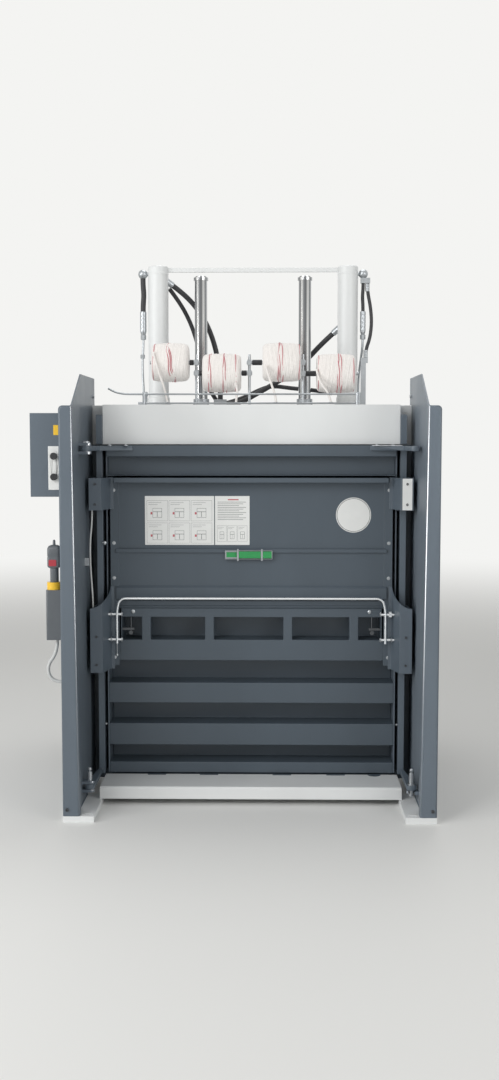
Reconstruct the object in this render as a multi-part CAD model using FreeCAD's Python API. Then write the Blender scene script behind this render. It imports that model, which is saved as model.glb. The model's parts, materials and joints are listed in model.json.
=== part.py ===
import FreeCAD, Part
import math
import os

# Recycling baler: a wide low-height press with two cylinders. Millimetres, +Z up, +X to the
# right, +Y to the back. The origin is the centre of the four anchor slots, on the floor.

os.makedirs("parts", exist_ok=True)
V = FreeCAD.Vector

# Driving dimensions of the whole machine
ANCHOR_X = 655.0            # anchor slots, left and right of the middle
ANCHOR_FRONT = 30.0         # front slots, behind the columns' front
ANCHOR_REAR = 1406.0        # rear slots, behind the columns' front
FRONT = -(ANCHOR_FRONT + ANCHOR_REAR) / 2.0   # the columns' front, as Y
COLUMN_OUT = 751.0          # outer face of the columns
COLUMN_IN = 698.0           # inner face of the columns
COLUMN_FACE_FOOT = 682.0    # the front face widens to this at its foot
COLUMN_DEPTH = 700.0
COLUMN_TOP = 1668.0
SHEET = 6.0                 # wall of columns, chamber and head box
FOOT_T = 25.0
FOOT_LENGTH = 320.0
DOOR_FRONT = FRONT + 450.0  # front faces of the bale door's ribs
DOOR_BACK = FRONT + 576.0   # back of the bale door's skin
CHAMBER_HALF = 600.0        # half the chamber's inner width
CHAMBER_BACK = FRONT + 1376.0
FLOOR_TOP = 77.0            # sill and chamber floor
WALL_TOP = 1511.0           # chamber walls end and the head box starts
HEAD_TOP = 1683.0
RIB_DEPTH = 54.0            # ribs on the chamber's outside
RUNNING = 0.06              # radial clearance of pins and shafts
GAP = 0.5                   # sliding clearance of flat guides

# Front gate: a top rail, two posts and the bale door, hinged on the left column
HINGE_X = 668.0
HINGE_Y = FRONT + 190.0
PIN_R = 10.0
STRAP_T = 20.0
STRAP_UP_Z = 1488.0
STRAP_LOW_Z = 86.0
NOSE_R = 20.0
RAIL_FRONT = FRONT + 420.0
RAIL_HALF = 618.0
RAIL_Z = (1380.0, 1462.0, 1510.0)
POST_IN = 636.0
POST_OUT = 662.0
POST_FRONT = FRONT + 430.0
POST_TOP = 1508.0
POST_FOOT = 84.0
BRACKET_TOP = 1640.0        # dark corner brackets of the head box, above the posts
RIBS = ((84.0, 130.0), (206.0, 301.0), (392.0, 481.0), (579.0, 669.0))
TOP_RIB = (769.0, 806.0)
TOP_RIB_HALF = 560.0
UPRIGHTS = (-455.0, -181.0, 158.0, 444.0)

# Loading flap in front of the gate
FLAP_FACE = FRONT + 440.0
FLAP_T = 4.0
FLAP_HALF = 582.0
STILE_OUT = 606.0
FLAP_TOP = 1372.0
FLAP_FOOT = 850.0
SHOE_FRONT = FRONT + 335.0
SHOE_OUT = 676.0
SHOE_OUT_BACK = 666.0
SHOE_IN = 633.0
TOP_SHOE = (1237.0, 1373.0)
LOW_SHOE = (545.0, 905.0)

# Fixed bail handle of the flap, held by two cross pins at each end
BAIL_R = 5.5
BAIL_HALF = 562.0
BAIL_ARM = 575.0
BAIL_PINS = (678.0, 787.0)
BAIL_PIN_R = 6.0
BAIL_FOOT = 662.0
BAIL_TOP = 856.0
BAIL_Y = FRONT + 395.0

# Hydraulics on the head box
RAM_Y = FRONT + 975.0
CYLINDER_X = 441.0
BARREL_R = 47.0
BORE_R = 40.0
BARREL_TOP = 2335.0
PISTON_ROD_R = 22.0
GUIDE_X = 242.0
GUIDE_R = 29.0
GUIDE_TOP = 2290.0
PLATE_HALF = 585.0
PLATE_Z = (1395.0, 1500.0)

# Twine rack
RACK_Y = FRONT + 600.0
RACK_ROD_Y = FRONT + 500.0
AXLE_R = 8.0
ROLL_R = 87.0
ROLLS = (
    (-435.0, -275.0, 1870.0),
    (-214.0, -47.0, 1824.0),
    (48.0, 214.0, 1870.0),
    (284.0, 452.0, 1822.0),
)

# Control cabinet and power inlet on the left column
CABINET_X = (-881.0, -COLUMN_OUT)
CABINET_Y = (FRONT + 100.0, FRONT + 480.0)
CABINET_Z = (1305.0, 1640.0)
PANEL_X = (-808.0, -760.0)
PANEL_Z = (1333.0, 1508.0)
BUTTON_R = 14.0
BUTTONS = (("start_button", 1468.0), ("stop_button", 1385.0))
INLET_X = -792.0
INLET_Y = FRONT + 112.0


def box(x0, x1, y0, y1, z0, z1):
    """A block between two corners."""
    return Part.makeBox(x1 - x0, y1 - y0, z1 - z0, V(x0, y0, z0))


def rod(start, end, r):
    """A round bar from one point to another."""
    a = V(*start)
    b = V(*end)
    return Part.makeCylinder(r, (b - a).Length, a, b - a)


def face_of(points):
    """A flat face inside a closed outline."""
    corners = [V(*p) for p in points]
    return Part.Face(Part.makePolygon(corners + corners[:1]))


def prism_x(outline, x0, x1):
    """An outline of (y, z) points carried along X."""
    return face_of([(x0, y, z) for y, z in outline]).extrude(V(x1 - x0, 0, 0))


def prism_y(outline, y0, y1):
    """An outline of (x, z) points carried along Y."""
    return face_of([(x, y0, z) for x, z in outline]).extrude(V(0, y1 - y0, 0))


def prism_z(outline, z0, z1):
    """An outline of (x, y) points carried along Z."""
    return face_of([(x, y, z0) for x, y in outline]).extrude(V(0, 0, z1 - z0))


def strip(path, t):
    """The closed outline of a folded sheet: a path and its copy, t to the left of it, with mitred folds."""
    side = []
    last = len(path) - 1
    for i, (px, py) in enumerate(path):
        before = path[max(i - 1, 0)]
        after = path[min(i + 1, last)]
        here = (px, py)
        ends = [(a, b) for a, b in ((before, here), (here, after)) if a != b]
        normals = []
        for a, b in ends:
            length = math.hypot(b[0] - a[0], b[1] - a[1])
            normals.append((-(b[1] - a[1]) / length, (b[0] - a[0]) / length))
        nx = sum(n[0] for n in normals) / len(normals)
        ny = sum(n[1] for n in normals) / len(normals)
        scale = t / (nx * nx + ny * ny)
        side.append((px + nx * scale, py + ny * scale))
    return list(path) + side[::-1]


def joined(*shapes):
    """Welded pieces as one solid, without seams between flush faces."""
    return shapes[0].multiFuse(list(shapes[1:])).removeSplitter()


def mirrored(shape):
    """The other hand of a piece, across the middle plane."""
    return shape.mirror(V(0, 0, 0), V(1, 0, 0))


def slot_z(x, y, length, r, z0, z1):
    """A cutter for an upright slot with round ends, long side along X."""
    half = length / 2.0 - r
    ends = [Part.makeCylinder(r, z1 - z0, V(x + s * half, y, z0)) for s in (-1, 1)]
    return joined(box(x - half, x + half, y - r, y + r, z0, z1), *ends)


def group(shapes):
    """Separate solids that share one node."""
    return Part.makeCompound(shapes)


def routed_tube(points, r, name):
    """A round tube along straight runs joined by tangent arcs; it prints the arcs' radii."""
    pts = [V(*p) for p in points]
    edges = []
    radii = []
    start = pts[0]
    for before, here, after in zip(pts, pts[1:], pts[2:]):
        into = (here - before).normalize()
        out = (after - here).normalize()
        turn = into.getAngle(out)
        reach = 0.45 * min((here - before).Length, (after - here).Length)
        a = here - into * reach
        b = here + out * reach
        radius = reach / math.tan(turn / 2.0)
        centre_way = (out - into).normalize()
        mid = here + centre_way * (radius / math.cos(turn / 2.0) - radius)
        edges.append(Part.LineSegment(start, a).toShape())
        edges.append(Part.Arc(a, mid, b).toShape())
        radii.append(radius)
        start = b
    edges.append(Part.LineSegment(start, pts[-1]).toShape())
    path = Part.Wire(edges)
    ring = Part.Wire([Part.makeCircle(r, pts[0], pts[1] - pts[0])])
    tube = path.makePipeShell([ring], True, False)
    expected = math.pi * r * r * path.Length
    print(name, "length %.0f" % path.Length, "least radius %.0f" % min(radii),
          "volume ratio %.4f" % (tube.Volume / expected))
    return tube


NODES = {}


# ---- Feet, columns and chamber -------------------------------------------------------------

def foot_plate(side, y0, anchor_y):
    """A flat anchor plate with one slot across the machine."""
    x = side * ANCHOR_X
    inner = side * 625.0
    outer = side * COLUMN_OUT
    plate = box(min(inner, outer), max(inner, outer), y0, y0 + FOOT_LENGTH, 0, FOOT_T)
    return plate.cut(slot_z(x, anchor_y, 40.0, 7.0, -1, FOOT_T + 1))


NODES["foot_plates"] = group([
    foot_plate(side, y0, FRONT + anchor)
    for side in (-1, 1)
    for y0, anchor in ((FRONT, ANCHOR_FRONT), (FRONT + 1116.0, ANCHOR_REAR))
])


FOLD_R = 9.0                # folds at both sides of a column's front face


def column_right():
    """A folded box post: rounded outer top edge, front face that widens downwards, fin on top."""
    skin = box(COLUMN_IN, COLUMN_OUT, FRONT, FRONT + COLUMN_DEPTH, FOOT_T, COLUMN_TOP)
    top_edge = [e for e in skin.Edges
                if e.BoundBox.XMin > COLUMN_OUT - 1 and e.BoundBox.ZMin > COLUMN_TOP - 1]
    skin = skin.makeFillet(17.0, top_edge)
    hollow = box(COLUMN_IN + SHEET, COLUMN_OUT - SHEET, FRONT + SHEET,
                 FRONT + COLUMN_DEPTH - SHEET, FOOT_T - 1, COLUMN_TOP - SHEET)
    wedge = prism_y([(COLUMN_IN, COLUMN_TOP), (COLUMN_IN, FOOT_T), (COLUMN_FACE_FOOT, FOOT_T)],
                    FRONT, FRONT + 40.0)
    fin_outline = [(FRONT + 20.0, COLUMN_TOP), (FRONT + 260.0, 1802.0), (FRONT + 650.0, 1802.0),
                   (FRONT + 650.0, COLUMN_TOP - 30.0), (FRONT + 20.0, COLUMN_TOP - 30.0)]
    fin = prism_x(fin_outline, COLUMN_IN, COLUMN_IN + SHEET)
    body = joined(skin.cut(hollow), wedge, fin)
    folds = [e for e in body.Edges
             if e.BoundBox.YMax < FRONT + 0.1 and e.BoundBox.ZLength > COLUMN_TOP / 2.0]
    return body.makeFillet(FOLD_R, folds)


def lug(z0, z1, hole_r):
    """A hinge lug on the right column's inner face, with a round nose and an upright hole."""
    plate = box(HINGE_X, COLUMN_IN, HINGE_Y - NOSE_R, HINGE_Y + NOSE_R, z0, z1)
    nose = Part.makeCylinder(NOSE_R, z1 - z0, V(HINGE_X, HINGE_Y, z0))
    hole = Part.makeCylinder(hole_r, z1 - z0, V(HINGE_X, HINGE_Y, z0))
    return joined(plate, nose).cut(hole)


LUG_T = 12.0
LUG_GAP = 1.5


def lug_pair(strap_z):
    """Two lugs, above and below a strap."""
    over = strap_z + STRAP_T + LUG_GAP
    under = strap_z - LUG_GAP
    return lug(over, over + LUG_T, PIN_R), lug(under - LUG_T, under, PIN_R)


FORK_SLOT = 13.0
fork = lug(STRAP_LOW_Z - 4.0 - LUG_T, STRAP_LOW_Z - 4.0, FORK_SLOT)
fork = fork.cut(box(HINGE_X - FORK_SLOT, HINGE_X + FORK_SLOT, HINGE_Y - 2 * NOSE_R, HINGE_Y, 0, 200))
NODES["side_column_right"] = joined(column_right(), fork)
NODES["side_column_left"] = mirrored(
    joined(column_right(), *lug_pair(STRAP_LOW_Z), *lug_pair(STRAP_UP_Z)))

# The sill: a folded step with closed ends, twine slots and one half-round notch at its back edge
SILL_HALF = 635.0
SILL_FRONT = FRONT + 245.0
SILL_BACK = DOOR_FRONT - 2.0
sill_line = [(SILL_BACK, FLOOR_TOP), (SILL_FRONT + 6.0, FLOOR_TOP), (SILL_FRONT, FLOOR_TOP - 6.0),
             (SILL_FRONT, FOOT_T)]
sill = prism_x(strip(sill_line, 5.0), -SILL_HALF, SILL_HALF)
sill_end = prism_x(sill_line + [(SILL_BACK, FOOT_T)], SILL_HALF - 5.0, SILL_HALF)
sill = joined(sill, sill_end, mirrored(sill_end))
SLOT_X = (-412.0, -184.0, 134.0, 368.0)
for slot_x in SLOT_X:
    sill = sill.cut(box(slot_x - 40.0, slot_x + 40.0, SILL_BACK - 14.0, SILL_BACK, 60, 90))
sill = sill.cut(Part.makeCylinder(28.0, 40, V(536.0, SILL_BACK, 55)))
NODES["sill"] = sill

# Chamber floor: a plate on four channels
floor = box(-CHAMBER_HALF, CHAMBER_HALF, DOOR_FRONT, CHAMBER_BACK, FLOOR_TOP - 10.0, FLOOR_TOP)
floor_beams = []
for beam_x in (-560.0, -200.0, 160.0, 520.0):
    line = [(beam_x + 40.0, FOOT_T + 8.0), (beam_x, FOOT_T + 8.0), (beam_x, FLOOR_TOP - 10.0)]
    outline = strip(line, 8.0)
    beam = face_of([(x, DOOR_FRONT + 2.0, z) for x, z in outline]).extrude(
        V(0, CHAMBER_BACK - DOOR_FRONT - 2.0, 0))
    floor_beams.append(beam)
NODES["chamber_floor"] = joined(floor, *floor_beams)

WALL_RIBS = ((120.0, 200.0), (400.0, 480.0), (680.0, 760.0), (960.0, 1040.0), (1240.0, 1320.0))
WALL_FOOT = 25.0


def wall_ribs(y_out, y_in, ends):
    """Channel ribs of a chamber wall: top, face and bottom folds, along X."""
    shapes = []
    for low, high in WALL_RIBS:
        line = [(y_in, high), (y_out, high), (y_out, low), (y_in, low)]
        shapes.append(prism_x(strip(line, -5.0 if y_out > y_in else 5.0), *ends))
    return shapes


def side_wall():
    """The right chamber wall: skin, front jamb towards the column, and ribs along Y."""
    jamb_y = DOOR_BACK + 1.0
    skin = box(CHAMBER_HALF, CHAMBER_HALF + SHEET, jamb_y, CHAMBER_BACK, WALL_FOOT, WALL_TOP)
    jamb = box(CHAMBER_HALF, COLUMN_IN, jamb_y, jamb_y + SHEET, WALL_FOOT, WALL_TOP)
    shapes = [skin, jamb]
    for low, high in WALL_RIBS:
        near = CHAMBER_HALF + SHEET
        line = [(near, high), (near + RIB_DEPTH, high), (near + RIB_DEPTH, low), (near, low)]
        shapes.append(prism_y(strip(line, -5.0), jamb_y + SHEET, CHAMBER_BACK))
    return joined(*shapes)


NODES["chamber_wall_right"] = side_wall()
NODES["chamber_wall_left"] = mirrored(side_wall())
back = box(-CHAMBER_HALF - 60.0, CHAMBER_HALF + 60.0, CHAMBER_BACK, CHAMBER_BACK + SHEET,
           WALL_FOOT, WALL_TOP)
near_y = CHAMBER_BACK + SHEET
back_ribs = wall_ribs(near_y + RIB_DEPTH, near_y, (-CHAMBER_HALF - 60.0, CHAMBER_HALF + 60.0))
NODES["chamber_wall_back"] = joined(back, *back_ribs)

# ---- Head box, cylinders and guides --------------------------------------------------------

HEAD_FRONT_HALF = POST_IN
HEAD_MID = FRONT + 580.0
HEAD_WIDE_BACK = FRONT + COLUMN_DEPTH
HEAD_BACK = CHAMBER_BACK + SHEET
HEAD_PLAN = [(-HEAD_FRONT_HALF, DOOR_FRONT), (HEAD_FRONT_HALF, DOOR_FRONT),
             (HEAD_FRONT_HALF, HEAD_MID), (COLUMN_IN, HEAD_MID), (COLUMN_IN, HEAD_WIDE_BACK),
             (CHAMBER_HALF + 60.0, HEAD_WIDE_BACK), (CHAMBER_HALF + 60.0, HEAD_BACK),
             (-CHAMBER_HALF - 60.0, HEAD_BACK), (-CHAMBER_HALF - 60.0, HEAD_WIDE_BACK),
             (-COLUMN_IN, HEAD_WIDE_BACK), (-COLUMN_IN, HEAD_MID), (-HEAD_FRONT_HALF, HEAD_MID)]
GATE_ROOM = 3.0             # the head box's front overhang clears the swinging gate


def ram_places():
    """Centres of the two cylinders, left then right."""
    return ((-CYLINDER_X, RAM_Y), (CYLINDER_X, RAM_Y))


HEAD_FLOOR = WALL_TOP + 12.0
head = prism_z(HEAD_PLAN, WALL_TOP, HEAD_TOP)
inner = [
    box(-HEAD_FRONT_HALF + SHEET, HEAD_FRONT_HALF - SHEET, DOOR_FRONT + SHEET, HEAD_MID + 20.0,
        HEAD_FLOOR, HEAD_TOP - SHEET),
    box(-COLUMN_IN + SHEET, COLUMN_IN - SHEET, HEAD_MID + SHEET, HEAD_WIDE_BACK - SHEET,
        HEAD_FLOOR, HEAD_TOP - SHEET),
    box(-CHAMBER_HALF - 54.0, CHAMBER_HALF + 54.0, HEAD_WIDE_BACK - 20.0, HEAD_BACK - SHEET,
        HEAD_FLOOR, HEAD_TOP - SHEET),
    box(-HEAD_FRONT_HALF - 1, HEAD_FRONT_HALF + 1, DOOR_FRONT - 1, DOOR_BACK + 1.0,
        WALL_TOP - 1, WALL_TOP + GATE_ROOM),
]
for cutter in inner:
    head = head.cut(cutter)
for ram_x, ram_y in ram_places():
    head = head.cut(Part.makeCylinder(PISTON_ROD_R + 4.0, 200, V(ram_x, ram_y, WALL_TOP - 10)))
    guide_x = math.copysign(GUIDE_X, ram_x)
    head = head.cut(Part.makeCylinder(GUIDE_R + 4.0, 200, V(guide_x, ram_y, WALL_TOP - 10)))
bracket_outline = [(POST_IN, POST_FRONT), (POST_OUT, POST_FRONT), (POST_OUT, POST_FRONT + 10.0),
                   (POST_IN + SHEET, POST_FRONT + 10.0), (POST_IN + SHEET, HEAD_MID),
                   (POST_IN, HEAD_MID)]
bracket = prism_z(bracket_outline, WALL_TOP + GATE_ROOM, BRACKET_TOP)
NODES["head_box"] = head
NODES["head_brackets"] = group([bracket, mirrored(bracket)])


def revolved(outline, x, y):
    """A turned piece: an (r, z) outline about an upright axis."""
    face = face_of([(x + r, y, z) for r, z in outline])
    return face.revolve(V(x, y, 0), V(0, 0, 1), 360)


BARREL_FLANGE_R = 58.0


def barrel(x, y):
    """A cylinder tube with its gland, base flange and closed head."""
    gland = PISTON_ROD_R + RUNNING
    outline = [(gland, HEAD_TOP), (BARREL_FLANGE_R, HEAD_TOP), (BARREL_FLANGE_R, HEAD_TOP + 18.0),
               (BARREL_R + 4.0, HEAD_TOP + 22.0), (BARREL_R + 4.0, HEAD_TOP + 46.0),
               (BARREL_R, HEAD_TOP + 50.0), (BARREL_R, BARREL_TOP - 4.0),
               (BARREL_R - 4.0, BARREL_TOP), (0, BARREL_TOP), (0, BARREL_TOP - 30.0),
               (BORE_R, BARREL_TOP - 30.0), (BORE_R, HEAD_TOP + 40.0), (gland, HEAD_TOP + 40.0)]
    return revolved(outline, x, y)


PISTON_T = 34.0
PISTON_TOP = BARREL_TOP - 34.0


def piston_rod(x, y):
    """A piston on its rod, from the cylinder down to the press plate."""
    outline = [(0, PLATE_Z[1]), (PISTON_ROD_R, PLATE_Z[1]),
               (PISTON_ROD_R, PISTON_TOP - PISTON_T), (BORE_R - RUNNING, PISTON_TOP - PISTON_T),
               (BORE_R - RUNNING, PISTON_TOP), (0, PISTON_TOP)]
    return revolved(outline, x, y)


def guide_rod(x, y):
    """A chromed guide rod with its flange cap on top."""
    outline = [(0, PLATE_Z[1]), (GUIDE_R, PLATE_Z[1]), (GUIDE_R, GUIDE_TOP - 20.0),
               (GUIDE_R + 5.0, GUIDE_TOP - 20.0), (GUIDE_R + 5.0, GUIDE_TOP - 6.0),
               (GUIDE_R - 3.0, GUIDE_TOP - 6.0), (GUIDE_R - 3.0, GUIDE_TOP), (0, GUIDE_TOP)]
    return revolved(outline, x, y)


def guide_bush(x, y):
    """A flanged sleeve that guides a rod through the head box's top."""
    r = GUIDE_R + RUNNING
    outline = [(r, HEAD_TOP), (r + 26.0, HEAD_TOP), (r + 26.0, HEAD_TOP + 12.0),
               (r + 8.0, HEAD_TOP + 12.0), (r + 8.0, HEAD_TOP + 40.0), (r, HEAD_TOP + 40.0)]
    return revolved(outline, x, y)


NODES["cylinder_left"] = barrel(-CYLINDER_X, RAM_Y)
NODES["cylinder_right"] = barrel(CYLINDER_X, RAM_Y)
NODES["piston_rod_left"] = piston_rod(-CYLINDER_X, RAM_Y)
NODES["piston_rod_right"] = piston_rod(CYLINDER_X, RAM_Y)
NODES["guide_rod_left"] = guide_rod(-GUIDE_X, RAM_Y)
NODES["guide_rod_right"] = guide_rod(GUIDE_X, RAM_Y)
NODES["guide_bushes"] = group([guide_bush(-GUIDE_X, RAM_Y), guide_bush(GUIDE_X, RAM_Y)])
tie = box(-CYLINDER_X, CYLINDER_X, RAM_Y - 8.0, RAM_Y + 8.0, BARREL_TOP - 26.0, BARREL_TOP - 6.0)
for ram_x, ram_y in ram_places():
    tie = tie.cut(Part.makeCylinder(BARREL_R, 80, V(ram_x, ram_y, BARREL_TOP - 60)))
NODES["cylinder_tie_bar"] = tie

# The press plate: a closed box of two plates on a grid of upright webs
PLATE_FRONT = DOOR_BACK + 14.0
PLATE_BACK = CHAMBER_BACK - 14.0
press = [box(-PLATE_HALF, PLATE_HALF, PLATE_FRONT, PLATE_BACK, PLATE_Z[0], PLATE_Z[0] + 20.0)]
for web_x in (-PLATE_HALF, -CYLINDER_X - 40.0, -CYLINDER_X + 30.0, -GUIDE_X - 40.0, -GUIDE_X + 30.0,
              GUIDE_X - 40.0, GUIDE_X + 30.0, CYLINDER_X - 40.0, CYLINDER_X + 30.0, PLATE_HALF - 10.0):
    press.append(box(web_x, web_x + 10.0, PLATE_FRONT, PLATE_BACK, PLATE_Z[0] + 20.0, PLATE_Z[1] - 10.0))
for web_y in (PLATE_FRONT, RAM_Y - 5.0, PLATE_BACK - 10.0):
    press.append(box(-PLATE_HALF, PLATE_HALF, web_y, web_y + 10.0, PLATE_Z[0] + 20.0, PLATE_Z[1] - 10.0))
press.append(box(-PLATE_HALF, PLATE_HALF, PLATE_FRONT, PLATE_BACK, PLATE_Z[1] - 10.0, PLATE_Z[1]))
NODES["press_plate"] = joined(*press)

# ---- Front gate ----------------------------------------------------------------------------

RAIL_STEP = FRONT + 476.0
GATE_BACK = FRONT + 570.0
rail_line = [(GATE_BACK, RAIL_Z[2]), (RAIL_FRONT, RAIL_Z[2]), (RAIL_FRONT, RAIL_Z[1]),
             (RAIL_STEP, RAIL_Z[1]), (RAIL_STEP, RAIL_Z[0] + 5.0), (RAIL_FRONT, RAIL_Z[0] + 5.0)]
NODES["gate_top_rail"] = prism_x(strip(rail_line, 5.0), -RAIL_HALF, RAIL_HALF)

POST_WALL = 6.0
post_line = [(POST_OUT, POST_FRONT), (POST_IN, POST_FRONT), (POST_IN, GATE_BACK - 55.0),
             (RAIL_HALF + POST_WALL + 2.5, GATE_BACK - 4.0), (RAIL_HALF + POST_WALL, GATE_BACK - 4.0),
             (RAIL_HALF + POST_WALL, DOOR_FRONT)]
post = prism_z(strip(post_line, -POST_WALL), POST_FOOT, POST_TOP)
NODES["gate_post_right"] = post
NODES["gate_post_left"] = mirrored(post)


def hat_rib(low, high, half):
    """A channel across the door: top, face and bottom folds, open to the skin."""
    line = [(GATE_BACK, high), (DOOR_FRONT, high), (DOOR_FRONT, low), (GATE_BACK, low)]
    return prism_x(strip(line, 5.0), -half, half)


door = [box(-RAIL_HALF, RAIL_HALF, GATE_BACK, DOOR_BACK, RIBS[0][0], TOP_RIB[1] + SHEET)]
door += [hat_rib(low, high, RAIL_HALF) for low, high in RIBS]
door.append(hat_rib(TOP_RIB[0], TOP_RIB[1], TOP_RIB_HALF))
for upright_x in UPRIGHTS:
    line = [(upright_x - 19.0, DOOR_FRONT + 50.0), (upright_x - 19.0, DOOR_FRONT),
            (upright_x + 19.0, DOOR_FRONT), (upright_x + 19.0, DOOR_FRONT + 50.0)]
    door.append(prism_z(strip(line, 4.0), RIBS[3][1], TOP_RIB[0]))
for side in (-1, 1):
    near, far = sorted((side * TOP_RIB_HALF, side * (TOP_RIB_HALF + 5.0)))
    door.append(box(near, far, DOOR_FRONT, GATE_BACK, RIBS[3][1], TOP_RIB[1]))
NODES["bale_door"] = joined(*door)


def strap(z, path, hole_r):
    """A flat strap of the right side with a round nose about the hinge line."""
    body = prism_z(path, z, z + STRAP_T)
    nose = Part.makeCylinder(NOSE_R, STRAP_T, V(HINGE_X, HINGE_Y, z))
    hole = Part.makeCylinder(hole_r, STRAP_T, V(HINGE_X, HINGE_Y, z))
    return joined(body, nose).cut(hole)


leg_in = HINGE_X - NOSE_R
leg_out = HINGE_X + NOSE_R
high_path = [(leg_out, HINGE_Y), (673.0, RAIL_FRONT), (505.0, RAIL_FRONT), (505.0, RAIL_FRONT - 8.0),
             (638.0, RAIL_FRONT - 42.0), (leg_in, RAIL_FRONT - 60.0), (leg_in, HINGE_Y)]
low_path = [(leg_out, HINGE_Y), (POST_OUT, POST_FRONT), (leg_in, POST_FRONT), (leg_in, HINGE_Y)]
strap_high = strap(STRAP_UP_Z, high_path, PIN_R + RUNNING)
strap_low = strap(STRAP_LOW_Z, low_path, PIN_R + RUNNING)
NODES["gate_straps"] = group([strap_high, strap_low, mirrored(strap_high), mirrored(strap_low)])

pin_foot = STRAP_UP_Z - LUG_GAP - LUG_T
pin_head = STRAP_UP_Z + STRAP_T + LUG_GAP + LUG_T
upper_pin = revolved(
    [(0, pin_foot), (PIN_R, pin_foot), (PIN_R, pin_head), (PIN_R + 4.0, pin_head),
     (PIN_R + 4.0, pin_head + 6.0), (0, pin_head + 6.0)], -HINGE_X, HINGE_Y)

PIN_TOP = 158.0
BALL_R = 9.0


def ball_pin(x, foot, collar):
    """A pull-out pin with a turned ball knob on a short neck, and a collar where it has one."""
    outline = [(0, foot), (PIN_R, foot)]
    if collar:
        outline += [(PIN_R, collar), (PIN_R + 5.0, collar), (PIN_R + 5.0, collar + 6.0),
                    (PIN_R, collar + 6.0)]
    outline += [(PIN_R, PIN_TOP), (5.0, PIN_TOP), (5.0, PIN_TOP + 3.0)]
    for latitude in (-50.0, -15.0, 15.0, 50.0):
        angle = math.radians(latitude)
        outline.append((BALL_R * math.cos(angle), PIN_TOP + 10.0 + BALL_R * math.sin(angle)))
    outline.append((0, PIN_TOP + 10.0 + BALL_R))
    return revolved(outline, x, HINGE_Y)


NODES["hinge_pins"] = group([upper_pin, ball_pin(-HINGE_X, STRAP_LOW_Z - LUG_GAP - LUG_T, 0)])
NODES["lock_pin"] = ball_pin(HINGE_X, STRAP_LOW_Z - 26.0, STRAP_LOW_Z + STRAP_T)

# Catches inside the two ends of the lattice: a hanging rod and a lever with a knob
catch_in = 508.0
catch_x = 522.0
catch_y = DOOR_FRONT + 12.0
catch = joined(
    rod((catch_x, catch_y, TOP_RIB[0]), (catch_x, catch_y, 718.0), 3.5),
    box(catch_in, TOP_RIB_HALF, catch_y - 4.0, catch_y + 4.0, 710.0, 720.0),
    rod((catch_x, catch_y - 9.0, 700.0), (catch_x, catch_y + 7.0, 700.0), 9.0),
    box(catch_x - 3.0, catch_x + 3.0, catch_y - 3.0, catch_y + 3.0, 700.0, 712.0))
NODES["door_latches"] = group([catch, mirrored(catch)])

# ---- Loading flap --------------------------------------------------------------------------

flap_line = [(FLAP_FACE - 54.0, FLAP_TOP - 20.0), (FLAP_FACE - 54.0, FLAP_TOP - FLAP_T),
             (FLAP_FACE, FLAP_TOP - FLAP_T), (FLAP_FACE, 1066.0), (FLAP_FACE - 10.0, 1066.0),
             (FLAP_FACE - 10.0, 1050.0), (FLAP_FACE, 1050.0), (FLAP_FACE, 908.0),
             (FLAP_FACE - 12.0, 896.0), (FLAP_FACE - 12.0, FLAP_FOOT)]
panel = prism_x(strip(flap_line, FLAP_T), -FLAP_HALF, FLAP_HALF)
STILE_FACE = FLAP_FACE - 2.0
stile = box(FLAP_HALF - 12.0, STILE_OUT, STILE_FACE, FLAP_FACE + FLAP_T, LOW_SHOE[0] + 15.0,
            FLAP_TOP - 22.0)
NODES["flap_panel"] = joined(panel, stile, mirrored(stile))


def slide_bracket(low, high, pad_top):
    """A folded bracket from the flap's stile round the post's front flange, with its slide pad."""
    line = [(650.0, POST_FRONT + 11.0), (SHOE_OUT_BACK, POST_FRONT + 11.0), (SHOE_OUT, SHOE_FRONT),
            (SHOE_IN, SHOE_FRONT), (STILE_OUT, STILE_FACE), (STILE_OUT - 16.0, STILE_FACE)]
    body = prism_z(strip(line, 5.0), low, high)
    pad = box(640.0, 660.0, POST_FRONT - 35.0, POST_FRONT - GAP, low, pad_top)
    web = box(647.0, 653.0, SHOE_FRONT, POST_FRONT - 35.0, low, pad_top)
    return joined(body, pad, web)


COVE_R = 85.0
low_bracket = slide_bracket(LOW_SHOE[0], LOW_SHOE[1], 812.0)
cove = rod((690.0, FRONT + 200.0, LOW_SHOE[1]), (690.0, FRONT + 500.0, LOW_SHOE[1]), COVE_R)
low_bracket = low_bracket.cut(cove)
top_bracket = slide_bracket(TOP_SHOE[0], TOP_SHOE[1], TOP_SHOE[1])
NODES["flap_slide_right"] = group([top_bracket, low_bracket])
NODES["flap_slide_left"] = group([mirrored(top_bracket), mirrored(low_bracket)])

bail_points = [(-BAIL_ARM, BAIL_Y, BAIL_FOOT), (-BAIL_ARM, BAIL_Y, BAIL_TOP - 50.0),
               (-BAIL_HALF, BAIL_Y, BAIL_TOP), (BAIL_HALF, BAIL_Y, BAIL_TOP),
               (BAIL_ARM, BAIL_Y, BAIL_TOP - 50.0), (BAIL_ARM, BAIL_Y, BAIL_FOOT)]
NODES["bail_handle"] = routed_tube(bail_points, BAIL_R, "bail_handle")
PIN_Y = BAIL_Y + 8.0


def cross_pin(side, z):
    """A cross pin behind the bail's arm, seated in a saddle and against the bracket's slanted wall."""
    pin = rod((side * 555.0, PIN_Y, z), (side * 613.0, PIN_Y, z), BAIL_PIN_R)
    return pin.cut(NODES["bail_handle"]).cut(low_bracket).cut(mirrored(low_bracket))


def star_knob(x0, x1, z):
    """A five-lobed clamping knob round a cross pin."""
    lobes = []
    for lobe in range(5):
        angle = math.radians(72.0 * lobe)
        y = PIN_Y + 9.0 * math.cos(angle)
        lobes.append(rod((x0, y, z + 9.0 * math.sin(angle)), (x1, y, z + 9.0 * math.sin(angle)), 5.0))
    return joined(rod((x0, PIN_Y, z), (x1, PIN_Y, z), 9.0), *lobes)


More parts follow.
